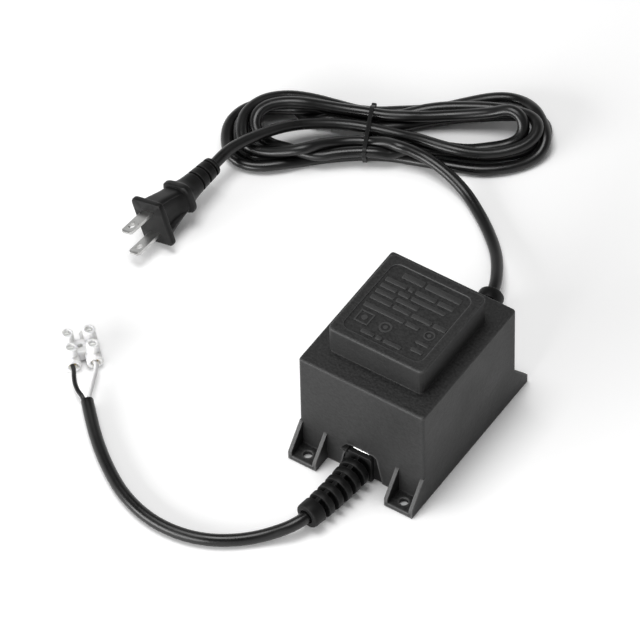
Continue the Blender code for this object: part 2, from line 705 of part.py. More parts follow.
def build_winding(name, side, copper, tape_finish):
    # One winding on its half of the former, and the tape round it
    tube_y, tube_z, _, _ = bobbin_half_sizes()
    low = BOBBIN_WALL / 2 + GAP
    high = 1.5 * LAMINATION_UNIT - 2 * GAP - BOBBIN_WALL
    xs = (low, high) if side > 0 else (-high, -low)
    inside = GAP
    outside = inside + WINDING_BUILD
    inner = centred(tube_y + inside, tube_z + inside, FORMER_CORNER + GAP / 2)
    outer = centred(tube_y + outside, tube_z + outside, WINDING_CORNER)
    winding = plate(name + "_winding", [outer, inner], *xs)
    stand_on_x(winding, 0.0)
    tape_in = outside + GAP
    tape_inner = centred(tube_y + tape_in, tube_z + tape_in, WINDING_CORNER + GAP)
    tape_outer = centred(tube_y + tape_in + TAPE, tube_z + tape_in + TAPE, WINDING_CORNER + GAP + TAPE)
    tape = plate(name + "_tape", [tape_outer, tape_inner], *xs)
    stand_on_x(tape, 0.0)
    return [finish_part(winding, copper), finish_part(tape, tape_finish)]


def build_fuse(finish):
    # Thermal fuse lying on the primary's tape: a small can with a lead at each end
    wire = FUSE_WIRE_RADIUS
    half = FUSE_LENGTH / 2
    end = half + FUSE_WIRE
    shoulder = half - FUSE_SHOULDER
    profile = [(0, end), (wire, end), (wire, half), (FUSE_RADIUS, shoulder),
               (FUSE_RADIUS, -shoulder), (wire, -half), (wire, -end), (0, -end)]
    fuse = turned("thermal_fuse", profile, 20)
    _, _, _, flange_z = bobbin_half_sizes()
    top = CORE_MIDDLE_Z + flange_z - GAP
    x = -0.75 * LAMINATION_UNIT
    fuse.data.transform(Matrix.Translation((x, 0, top + GAP + FUSE_RADIUS))
                        @ Matrix.Rotation(math.pi / 2, 4, "X"))
    return finish_part(fuse, finish)


def build_inner_leads(name, side, front, finish):
    # Two insulated wires from a winding's underside to the strain relief's inner plate
    _, _, flange_y, _ = bobbin_half_sizes()
    stop = WALL_Y - WALL - 2 * GAP - RELIEF_PLATE
    for number in (1, 2):
        x = side * (INNER_LEAD_FIRST + (number - 1) * INNER_LEAD_PITCH)
        ys = sorted((front * flange_y, front * stop))
        lead = cylinder(f"{name}_lead_{number}", INNER_LEAD_RADIUS, (x, ys[0], RELIEF_AXIS_HEIGHT),
                        (x, ys[1], RELIEF_AXIS_HEIGHT), "Y", 12)
        finish_part(lead, finish)


def hank_place():
    return Matrix.Translation(HANK_CENTRE) @ Matrix.Rotation(HANK_YAW, 4, "Z")


def build_hank(cord, tie_finish):
    # Hank of the mains cord as one solid, and the tie round its waist
    flat = [Vector((u, v, 0.0)) for u, v in HANK_OUTLINE]
    outline = [(p.x, p.y) for p in smooth_line(flat, HANK_SPACING, closed=True)]
    hank = plate("mains_cord_hank", [outline], 0.0, HANK_HEIGHT)
    below = TIE_THICKNESS + 2 * GAP
    slot_half = TIE_WIDTH / 2 + GAP
    channel = box("tie_channel", (-slot_half, 2 * WAIST_FRONT, -below), (slot_half, 2 * WAIST_BACK, below))
    cut(hank, channel)
    bpy.context.view_layer.update()
    bake(hank)
    hank.data.transform(hank_place())
    finish_part(hank, cord, 60.0)
    inner = rounded_rectangle((WAIST_FRONT - 2 * GAP, GAP + TIE_THICKNESS),
                              (WAIST_BACK + 2 * GAP, HANK_HEIGHT + GAP), TIE_CORNER, 3)
    outer = rounded_rectangle((WAIST_FRONT - 2 * GAP - TIE_THICKNESS, GAP),
                              (WAIST_BACK + 2 * GAP + TIE_THICKNESS, HANK_HEIGHT + GAP + TIE_THICKNESS),
                              TIE_CORNER + TIE_THICKNESS, 3)
    tie = plate("hank_tie", [outer, inner], -TIE_WIDTH / 2, TIE_WIDTH / 2)
    across = Matrix(((0, 0, 1, 0), (1, 0, 0, 0), (0, 1, 0, 0), (0, 0, 0, 1)))
    tie.data.transform(hank_place() @ across)
    finish_part(tie, tie_finish)


def plug_place():
    # Local Z runs from the plug's face towards its cord, local X across it, local Y up it
    along = Vector((math.sin(PLUG_AZIMUTH), math.cos(PLUG_AZIMUTH), 0.0))
    across = Vector((math.cos(PLUG_AZIMUTH), -math.sin(PLUG_AZIMUTH), 0.0))
    rise = across.cross(along)
    x_axis = across * math.cos(PLUG_ROLL) + rise * math.sin(PLUG_ROLL)
    y_axis = along.cross(x_axis)
    columns = Matrix((x_axis, y_axis, along)).transposed().to_4x4()
    return Matrix.Translation(PLUG_FACE) @ columns


def loft(name, sections):
    # Skin rounded rectangles (width, height, corner, z) into one closed solid
    bm = bmesh.new()
    rings = []
    for width, height, corner, z in sections:
        outline = rounded_rectangle((-width / 2, -height / 2), (width / 2, height / 2), corner, 4)
        rings.append([bm.verts.new((x, y, z)) for x, y in outline])
    for near, far in zip(rings, rings[1:]):
        for i in range(len(near)):
            j = (i + 1) % len(near)
            bm.faces.new((near[i], near[j], far[j], far[i]))
    bm.faces.new(list(reversed(rings[0])))
    bm.faces.new(rings[-1])
    bmesh.ops.recalc_face_normals(bm, faces=bm.faces)
    return mesh_from(name, bm)


def neck_radius(z):
    start = COLLAR_START
    return NECK_ROOT_RADIUS + (NECK_END_RADIUS - NECK_ROOT_RADIUS) * (z - start) / (PLUG_LENGTH - start)


def neck_profile():
    # Tapered neck with its flexing grooves, from the cord end back into the grip
    soft = NECK_END_ROUND
    profile = [(0.0, PLUG_LENGTH), (NECK_END_RADIUS - soft, PLUG_LENGTH),
               (NECK_END_RADIUS - soft * 0.3, PLUG_LENGTH - soft * 0.3), (NECK_END_RADIUS, PLUG_LENGTH - soft)]
    for k in reversed(range(NECK_GROOVE_COUNT)):
        near = NECK_GROOVE_FIRST + k * NECK_GROOVE_PITCH
        far = near + NECK_GROOVE_WIDTH
        profile += [(neck_radius(far), far), (neck_radius(far) - NECK_GROOVE_DEPTH, far),
                    (neck_radius(near) - NECK_GROOVE_DEPTH, near), (neck_radius(near), near)]
    profile += [(neck_radius(COLLAR_START), COLLAR_START), (0.0, COLLAR_START)]
    return profile


def loft_flange():
    inset = 2 * PLUG_EDGE
    whole = (PLUG_FLANGE_WIDTH, PLUG_FLANGE_HEIGHT, PLUG_FLANGE_CORNER)
    eased = (PLUG_FLANGE_WIDTH - inset, PLUG_FLANGE_HEIGHT - inset, PLUG_FLANGE_CORNER - PLUG_EDGE / 2)
    return loft("plug_body", [(*eased, 0.0), (*whole, PLUG_EDGE), (*whole, PLUG_FLANGE - PLUG_EDGE),
                              (*eased, PLUG_FLANGE)])


def loft_waist(start):
    stop = COLLAR_START + COLLAR / 2
    return loft("plug_waist", [(width, height, COLLAR_CORNER, start + (stop - start) * share)
                               for width, height, share in PLUG_WAIST])


def loft_collar():
    inset = 2 * PLUG_EDGE
    return loft("plug_collar", [
        (COLLAR_WIDTH - inset, COLLAR_HEIGHT - inset, COLLAR_CORNER, COLLAR_START),
        (COLLAR_WIDTH, COLLAR_HEIGHT, COLLAR_CORNER, COLLAR_START + PLUG_EDGE),
        (COLLAR_WIDTH, COLLAR_HEIGHT, COLLAR_CORNER, COLLAR_START + COLLAR - inset),
        (2 * NECK_ROOT_RADIUS, 2 * NECK_ROOT_RADIUS, 0.75 * NECK_ROOT_RADIUS, COLLAR_START + COLLAR_TAPER)])


def build_plug(finish, metal):
    # Moulded plug: face flange, waisted grip, collar and grooved neck, with two blades
    waist_start = PLUG_FLANGE - PLUG_EDGE
    body = loft_flange()
    join(body, loft_waist(waist_start), loft_collar(), turned("plug_neck", neck_profile(), 28))
    narrowest = min(width for width, _, _ in PLUG_WAIST) / 2 - THUMB_PANEL_DEPTH
    for side in (-1, 1):
        xs = sorted((side * narrowest, side * PLUG_FLANGE_WIDTH))
        cut(body, box(f"thumb_panel_{side}", (xs[0], -THUMB_PANEL_HALF, waist_start + THUMB_PANEL_MARGIN),
                      (xs[1], THUMB_PANEL_HALF, COLLAR_START - THUMB_PANEL_MARGIN)))
    for number, side in ((1, 1), (2, -1)):
        y = side * BLADE_SPACING / 2
        reach_x = BLADE_WIDTH / 2 + GAP
        reach_y = BLADE_THICKNESS / 2 + GAP
        cut(body, box(f"blade_slot_{number}", (-reach_x, y - reach_y, -WALL),
                      (reach_x, y + reach_y, BLADE_ROOT + GAP)))
        build_blade(f"plug_blade_{number}", y, metal)
    bpy.context.view_layer.update()
    bake(body)
    body.data.transform(plug_place())
    return finish_part(body, finish)


def build_blade(name, y, metal):
    # Flat contact blade with a round hole near its bevelled tip
    half = BLADE_WIDTH / 2
    tip = -BLADE_REACH
    chamfer = BLADE_TIP_CHAMFER
    outline = [(-half, BLADE_ROOT), (-half, tip + chamfer), (-half + chamfer, tip),
               (half - chamfer, tip), (half, tip + chamfer), (half, BLADE_ROOT)]
    hole = [(BLADE_HOLE_RADIUS * math.cos(math.tau * i / 20),
             -BLADE_HOLE_FROM_FACE + BLADE_HOLE_RADIUS * math.sin(math.tau * i / 20)) for i in range(20)]
    blade = plate(name, [outline, hole], -BLADE_THICKNESS / 2, BLADE_THICKNESS / 2)
    thin_tip(blade, tip)
    # Local Y of the outline runs along the plug, its thickness across the blades' spacing
    lie = Matrix(((1, 0, 0, 0), (0, 0, -1, y), (0, 1, 0, 0), (0, 0, 0, 1)))
    blade.data.transform(plug_place() @ lie)
    finish_part(blade, metal)


def thin_tip(blade, tip):
    # The last millimetre of the blade narrows in thickness
    for vertex in blade.data.vertices:
        if vertex.co.y < tip + BLADE_TIP_CHAMFER / 2:
            vertex.co.z *= 0.55


def block_place():
    return Matrix.Translation(BLOCK_CENTRE) @ Matrix.Rotation(BLOCK_YAW, 4, "Z")


def build_terminal_block(shell_finish, brass, steel):
    # Two-pole screw terminal: moulded shell, brass tube in each pole, two screws to a tube
    half = BLOCK_LENGTH / 2
    poles = (-POLE_PITCH / 2, POLE_PITCH / 2)
    shell = box("terminal_block", (-POLE_PITCH / 2, -BRIDGE_LENGTH / 2, BRIDGE_FOOT),
                (POLE_PITCH / 2, BRIDGE_LENGTH / 2, BRIDGE_FOOT + BRIDGE_THICKNESS))
    holes = [cylinder("bridge_hole", BRIDGE_HOLE_RADIUS, (0, 0, -WALL), (0, 0, TOWER_TOP), "Z", 20)]
    for number, x in enumerate(poles, start=1):
        join(shell, round_barrel(f"barrel_{number}", x, half))
        holes.append(cylinder(f"bore_{number}", BLOCK_BORE_RADIUS, (x, -2 * half, BARREL_Z),
                              (x, 2 * half, BARREL_Z), "Y", 24))
        for y in (-TOWER_FROM_MIDDLE, TOWER_FROM_MIDDLE):
            join(shell, tower(f"tower_{number}", x, y))
            holes.append(cylinder(f"well_{number}", SCREW_HEAD_RADIUS + GAP, (x, y, BARREL_Z),
                                  (x, y, 2 * TOWER_TOP), "Z", 20))
        build_contact_tube(f"terminal_tube_{number}", x, brass)
    cut(shell, *holes)
    bpy.context.view_layer.update()
    bake(shell)
    shell.data.transform(block_place())
    finish_part(shell, shell_finish)
    spots = [(x, y) for x in poles for y in (-TOWER_FROM_MIDDLE, TOWER_FROM_MIDDLE)]
    for number, (x, y) in enumerate(spots, start=1):
        build_screw(f"terminal_screw_{number}", x, y, steel)


def round_barrel(name, x, half):
    # Barrel round the bore, with softened ends
    soft = BARREL_EDGE
    profile = [(0, half), (BARREL_RADIUS - soft, half), (BARREL_RADIUS, half - soft),
               (BARREL_RADIUS, -half + soft), (BARREL_RADIUS - soft, -half), (0, -half)]
    barrel = turned(name, profile, 28)
    barrel.data.transform(Matrix.Translation((x, 0, BARREL_Z)) @ Matrix.Rotation(math.pi / 2, 4, "X"))
    return barrel


def tower(name, x, y):
    # Chimney that a screwdriver goes down
    soft = TOWER_EDGE
    profile = [(0, TOWER_TOP), (TOWER_RADIUS - soft, TOWER_TOP), (TOWER_RADIUS, TOWER_TOP - soft),
               (TOWER_RADIUS, BARREL_Z), (0, BARREL_Z)]
    made = turned(name, profile, 24)
    made.data.transform(Matrix.Translation((x, y, 0)))
    return made


def build_contact_tube(name, x, brass):
    half = TUBE_LENGTH / 2
    tube_body = cylinder(name, TUBE_RADIUS, (x, -half, BARREL_Z), (x, half, BARREL_Z), "Y", 24)
    bore = cylinder(name + "_bore", TUBE_RADIUS - TUBE_WALL, (x, -2 * half, BARREL_Z),
                    (x, 2 * half, BARREL_Z), "Y", 20)
    cut(tube_body, bore)
    for y in (-TOWER_FROM_MIDDLE, TOWER_FROM_MIDDLE):
        cut(tube_body, cylinder(name + "_thread", SCREW_SHANK_RADIUS + GAP / 2, (x, y, BARREL_Z),
                                (x, y, TOWER_TOP), "Z", 16))
    bpy.context.view_layer.update()
    bake(tube_body)
    tube_body.data.transform(block_place())
    finish_part(tube_body, brass)


def build_screw(name, x, y, steel):
    # Slotted grub screw: its tip stops just above the wire
    top = TOWER_TOP - SCREW_BELOW_TOP
    neck = top - SCREW_HEAD
    tip = BARREL_Z + CORE_RADIUS + GAP
    profile = [(0, top), (SCREW_HEAD_RADIUS - SCREW_EDGE, top), (SCREW_HEAD_RADIUS, top - SCREW_EDGE),
               (SCREW_HEAD_RADIUS, neck), (SCREW_SHANK_RADIUS, neck - 2 * SCREW_EDGE),
               (SCREW_SHANK_RADIUS, tip), (0, tip)]
    screw = turned(name, profile, 20)
    slot = box(name + "_slot", (-2 * SCREW_HEAD_RADIUS, -SCREW_SLOT / 2, top - SCREW_SLOT * 1.5),
               (2 * SCREW_HEAD_RADIUS, SCREW_SLOT / 2, top + SCREW_SLOT))
    cut(screw, slot)
    bpy.context.view_layer.update()
    bake(screw)
    screw.data.transform(block_place() @ Matrix.Translation((x, y, 0)))
    finish_part(screw, steel)


def build_part():
    clear_scene()
    moulding = material("housing_black", (0.035, 0.035, 0.037), 0.55)
    soft_black = material("relief_black", (0.022, 0.022, 0.023), 0.50)
    cord_black = material("cord_black", (0.010, 0.010, 0.011), 0.28)
    tie_black = material("tie_black", (0.015, 0.015, 0.016), 0.45)
    plug_black = material("plug_black", (0.025, 0.025, 0.026), 0.45)
    resin = material("resin_grey", (0.060, 0.060, 0.065), 0.45)
    lamination = material("lamination_steel", (0.25, 0.25, 0.27), 0.45, 0.9)
    copper = material("enamelled_copper", (0.62, 0.26, 0.10), 0.35, 0.9)
    former = material("former_white", (0.75, 0.74, 0.70), 0.5)
    tape = material("tape_yellow", (0.75, 0.60, 0.15), 0.4)
    wire_white = material("wire_white", (0.80, 0.79, 0.76), 0.4)
    nickel = material("nickel", (0.72, 0.71, 0.68), 0.25, 1.0)
    brass = material("brass", (0.70, 0.55, 0.28), 0.3, 1.0)
    milky = material("terminal_white", (0.82, 0.82, 0.80), 0.35)

    build_housing(moulding)
    build_potting(resin)
    build_core(lamination)
    build_bobbin(former)
    build_winding("primary", -1, copper, tape)
    build_winding("secondary", 1, copper, tape)
    build_fuse(nickel)
    build_inner_leads("primary", -1, 1, wire_white)
    build_inner_leads("secondary", 1, -1, wire_white)
    build_relief("output_strain_relief", -1, FRONT_RELIEF_SWAY, soft_black)
    build_relief("mains_strain_relief", 1, BACK_RELIEF_SWAY, soft_black)
    tube("output_cord", OUTPUT_ROUTE, CORD_RADIUS, cord_black, 0.0075, 4)
    tube("black_core", BLACK_CORE_ROUTE, CORE_RADIUS, cord_black, 0.0030, 2)
    tube("white_core", WHITE_CORE_ROUTE, CORE_RADIUS, wire_white, 0.0030, 2)
    build_terminal_block(milky, brass, nickel)
    tube("mains_cord_lead", LEAD_ROUTE, CORD_RADIUS, cord_black, 0.0075, 4)
    tube("mains_cord_tail", TAIL_ROUTE, CORD_RADIUS, cord_black, 0.0075, 4)
    build_hank(cord_black, tie_black)
    build_plug(plug_black, nickel)


build_part()
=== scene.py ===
# %% [markdown]
# # A potted power supply on its two cords
# The object is a black moulded box with fixing lugs, a mains cord folded into a
# hank and ending in a two-blade plug, and an output cord ending in a small
# terminal block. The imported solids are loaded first. They give every size and
# place in metres, so the scene adds only what solids don't carry: camera, cords
# with their true lie, light, finishes and the smallest details.

# %% Load the solids
import math

import bmesh
import bpy
from mathutils import Matrix, Vector
from mathutils.geometry import interpolate_bezier


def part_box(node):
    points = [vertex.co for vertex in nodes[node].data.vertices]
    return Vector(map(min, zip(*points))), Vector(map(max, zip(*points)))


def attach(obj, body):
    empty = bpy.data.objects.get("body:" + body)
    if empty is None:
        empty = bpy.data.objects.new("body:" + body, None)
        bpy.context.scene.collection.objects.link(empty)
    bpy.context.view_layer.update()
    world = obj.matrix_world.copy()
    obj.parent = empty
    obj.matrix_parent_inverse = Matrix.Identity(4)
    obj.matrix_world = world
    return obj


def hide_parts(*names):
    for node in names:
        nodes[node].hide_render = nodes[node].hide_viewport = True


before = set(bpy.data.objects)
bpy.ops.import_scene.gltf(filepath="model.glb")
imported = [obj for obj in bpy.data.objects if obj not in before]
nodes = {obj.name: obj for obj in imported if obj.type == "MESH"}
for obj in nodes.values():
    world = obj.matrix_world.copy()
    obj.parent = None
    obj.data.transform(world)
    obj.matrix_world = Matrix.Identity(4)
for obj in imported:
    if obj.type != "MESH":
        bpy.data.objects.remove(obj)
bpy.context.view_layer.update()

# %% [markdown]
# ## Camera
# The photograph was taken from high up at the front right, with a long lens, so
# edges that are parallel on the object stay nearly parallel in the picture. A
# long lens is set by its focal length against a 36 mm wide sensor. The camera's
# own X axis points right in the picture, its Y axis up, and its Z axis back, away
# from the object, so those three directions make its matrix.

# %% Camera
AZIMUTH = math.radians(34.4224)
ELEVATION = math.radians(48.6568)
ROLL = math.radians(1.3801)
CAMERA_PLACE = Vector((1.160045, -1.763324, 2.469673))
SENSOR_WIDTH, FOCAL_LENGTH = 36.0, 393.731


def new_object(name, data):
    thing = bpy.data.objects.new(name, data)
    bpy.context.scene.collection.objects.link(thing)
    return thing


def camera_matrix(azimuth, elevation, roll, place):
    back = Vector((math.sin(azimuth) * math.cos(elevation),
                   -math.cos(azimuth) * math.cos(elevation), math.sin(elevation)))
    right = Vector((0, 0, 1)).cross(back).normalized()
    up = back.cross(right)
    rolled_right = right * math.cos(roll) - up * math.sin(roll)
    rolled_up = right * math.sin(roll) + up * math.cos(roll)
    turn = Matrix((rolled_right, rolled_up, back)).transposed().to_4x4()
    return Matrix.Translation(place) @ turn


view = bpy.data.cameras.new("camera")
view.sensor_fit = "HORIZONTAL"
view.sensor_width = SENSOR_WIDTH
view.lens = FOCAL_LENGTH
camera = new_object("camera", view)
camera.matrix_world = camera_matrix(AZIMUTH, ELEVATION, ROLL, CAMERA_PLACE)
bpy.context.scene.camera = camera
print("camera is", round(CAMERA_PLACE.length, 2), "m from the origin")

# %% [markdown]
# ## Node helpers
# Every finish below is a small network of nodes. One helper adds a node with its
# options, and another fills its sockets by name: a value goes in as a default, and
# another node's output goes in as a link. Patterns read Object coordinates: the
# objects sit at the origin, so a scale of 1000 means one feature per millimetre.

# %% Node helpers


def fill(tree, node, **sockets):
    for name, value in sockets.items():
        socket = node.inputs[name.replace("_", " ")]
        if isinstance(value, bpy.types.NodeSocket):
            tree.links.new(value, socket)
        else:
            socket.default_value = value


def add(tree, kind, options=None, **sockets):
    node = tree.nodes.new("ShaderNode" + kind)
    for name, value in (options or {}).items():
        setattr(node, name, value)
    fill(tree, node, **sockets)
    return node


def grey(level, warmth=0.0):
    # A neutral colour, or one a little warm (above 0) or cool (below 0)
    return (level * (1 + warmth), level, level * (1 - warmth), 1.0)


def new_finish(name, roughness, cloud_scale, detail=3.0, metallic=0.0, specular=0.5):
    # Every finish starts from its shader, its place and a slow cloud of noise
    material = bpy.data.materials.new(name)
    material.use_nodes = True
    tree = material.node_tree
    shader = tree.nodes["Principled BSDF"]
    fill(tree, shader, Roughness=roughness, Metallic=metallic, Specular_IOR_Level=specular)
    place = object_place(tree)
    return material, tree, shader, place, noise(tree, place, cloud_scale, detail)


def object_place(tree, stretch=(1.0, 1.0, 1.0), turn=0.0):
    # Object coordinates, turned about Z and stretched for streaks
    place = add(tree, "TexCoord")
    mapping = add(tree, "Mapping", Vector=place.outputs["Object"], Scale=stretch,
                  Rotation=(0.0, 0.0, turn))
    return mapping.outputs["Vector"]


def noise(tree, place, scale, detail=2.0):
    return add(tree, "TexNoise", Vector=place, Scale=scale, Detail=detail).outputs["Fac"]


def spread(tree, value, low, high, start=0.3, stop=0.7):
    # Noise gathers round a half, so its middle range is opened out to low..high
    return add(tree, "MapRange", Value=value, From_Min=start, From_Max=stop,
               To_Min=low, To_Max=high).outputs["Result"]


def blend_colours(tree, share, first, second):
    return add(tree, "MixRGB", Fac=share, Color1=first, Color2=second).outputs["Color"]


def edge_highlight_and_wear(tree, radius, strength):
    # A normal that rounds the edges, and a share: 0 on flat ground and up to
    # strength on an edge, found by how open the solid is just inside its skin.
    # The finishes make edges paler by this share: a painted highlight, with some wear
    soft = add(tree, "Bevel", {"samples": 6}, Radius=radius)
    inside = add(tree, "AmbientOcclusion", {"samples": 8, "inside": True, "only_local": True},
                 Distance=radius * 2.2)
    return soft.outputs["Normal"], spread(tree, inside.outputs["AO"], 0.0, strength, 0.90, 0.50)


def connect(tree, shader, colour, roughness, normal):
    fill(tree, shader, Base_Color=colour, Roughness=roughness, Normal=normal)


def bump(tree, height, depth, strength=1.0, under=None):
    # Strength is a number, or a node's output where it varies
    node = add(tree, "Bump", Height=height, Distance=depth, Strength=strength)
    if under is not None:
        fill(tree, node, Normal=under)
    return node.outputs["Normal"]


print("node helpers ready")

# %% [markdown]
# ## Cord sheath finish
# The sheaths are glossy PVC, pushed hot through a die. That leaves a soft
# highlight along the top, faint lines that run with the cord, and a slow change
# of gloss where hands have bent it. The lines follow the cord, so they read the
# cord's own UV map, whose V runs round it. The rest reads Object coordinates.

# %% Cord sheath finish
LINES_ALONG, LINES_ROUND, LINE_DEPTH = 2.0, 34.0, 0.000014
SHEATH_GRAIN, SHEATH_GRAIN_DEPTH = 1500.0, 0.000008


def sheath_finish(name, dark, light, roughness, specular):
    material, tree, shader, place, handled = new_finish(name, roughness, 70.0, specular=specular)
    colour = blend_colours(tree, spread(tree, handled, 0.0, 1.0), grey(dark), grey(light))
    gloss = spread(tree, handled, roughness - 0.05, roughness + 0.09)
    around = add(tree, "UVMap").outputs["UV"]
    lines = add(tree, "Mapping", Vector=around, Scale=(LINES_ALONG, LINES_ROUND, 1.0))
    drawn = bump(tree, noise(tree, lines.outputs["Vector"], 1.0, 1.0), LINE_DEPTH)
    grain = bump(tree, noise(tree, place, SHEATH_GRAIN), SHEATH_GRAIN_DEPTH, under=drawn)
    connect(tree, shader, colour, gloss, grain)
    return material


cord_black = sheath_finish("cord_black", 0.003, 0.006, 0.29, 0.44)
core_black = sheath_finish("core_black", 0.004, 0.008, 0.30, 0.45)
core_white = sheath_finish("core_white", 0.72, 0.80, 0.38, 0.40)
print("sheath finishes:", cord_black.name, core_black.name, core_white.name)

# %% [markdown]
# ## How a cord is made
# A cord is one smooth line with a section carried along it. The line passes
# through chosen points, each pair joined by a Bezier span whose handles point
# along its neighbours, so it bends as evenly as a real cable. A curve object
# then carries a flat-sided oval along that line, kept level by its Z-up twist,
# and is turned into a mesh. Drawing the tube by hand would give the same shape
# with far more code, and no UV map.

# %% Cord helper
SPAN_STEPS = 4


def route(points, parts=10000):
    # Points given in whole tenths of a millimetre, or in smaller parts of a metre
    return [tuple(c / parts for c in point) for point in points]


def smooth_line(points):
    # Fine points through the chosen ones
    knots = [Vector(p) for p in points]
    line = []
    for i in range(len(knots) - 1):
        near, far = knots[i], knots[i + 1]
        before, after = knots[max(i - 1, 0)], knots[min(i + 2, len(knots) - 1)]
        line += interpolate_bezier(near, near + (far - before) / 6, far - (after - near) / 6,
                                   far, SPAN_STEPS + 1)[:-1]
    return line + [knots[-1]]


def line_length(line):
    return sum((b - a).length for a, b in zip(line, line[1:]))


def poly_curve(name, points, closed=False):
    curve = bpy.data.curves.new(name, "CURVE")
    curve.dimensions = "3D"
    spline = curve.splines.new("POLY")
    spline.points.add(len(points) - 1)
    for knot, point in zip(spline.points, points):
        knot.co = (*point, 1.0)
    spline.use_cyclic_u = closed
    return new_object(name, curve)


def place_piece(name, mesh, material, sharp=35.0):
    # Every new piece: smooth, sharp past an angle, finished, riding on the body
    piece = new_object(name, mesh)
    mesh.materials.clear()
    mesh.materials.append(material)
    mesh.shade_smooth()
    mesh.set_sharp_from_angle(angle=math.radians(sharp))
    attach(piece, "root")
    return piece


def cord_piece(name, line, width, height, material, sides=20):
    section = poly_curve(name + "_section", [
        (width / 2 * math.cos(math.tau * i / sides), height / 2 * math.sin(math.tau * i / sides), 0)
        for i in range(sides)], closed=True)
    guide = poly_curve(name + "_guide", line)
    guide.data.twist_mode = "Z_UP"
    guide.data.bevel_mode = "OBJECT"
    guide.data.bevel_object = section
    guide.data.use_fill_caps = True
    drawn = guide.evaluated_get(bpy.context.evaluated_depsgraph_get())
    mesh = bpy.data.meshes.new_from_object(drawn)
    mesh.name = name
    for helper in (guide, section):
        bpy.data.objects.remove(helper)
    bm = bmesh.new()
    bm.from_mesh(mesh)
    bmesh.ops.remove_doubles(bm, verts=bm.verts, dist=1e-7)
    bmesh.ops.recalc_face_normals(bm, faces=bm.faces)
    bm.to_mesh(mesh)
    bm.free()
    print(name, round(line_length(line), 4), "m,", len(mesh.polygons), "faces, maps:",
          [layer.name for layer in mesh.uv_layers])
    return place_piece(name, mesh, material, sharp=60.0)


# %% [markdown]
# ## Mains cord
# About a metre and a half of cord leaves the back relief, lies in four loops a
# side with a tie round the middle, and ends in the plug. Its whole length shows,
# so the route keeps that length: it crosses over itself in low humps, strand on
# strand, and never runs through itself. A physics simulation could settle a
# hank, but it would not settle into this one, so the lie of each loop was
# measured and is given as points, in tenths of a millimetre. The line through
# them is then kept from dipping into the ground between two points.

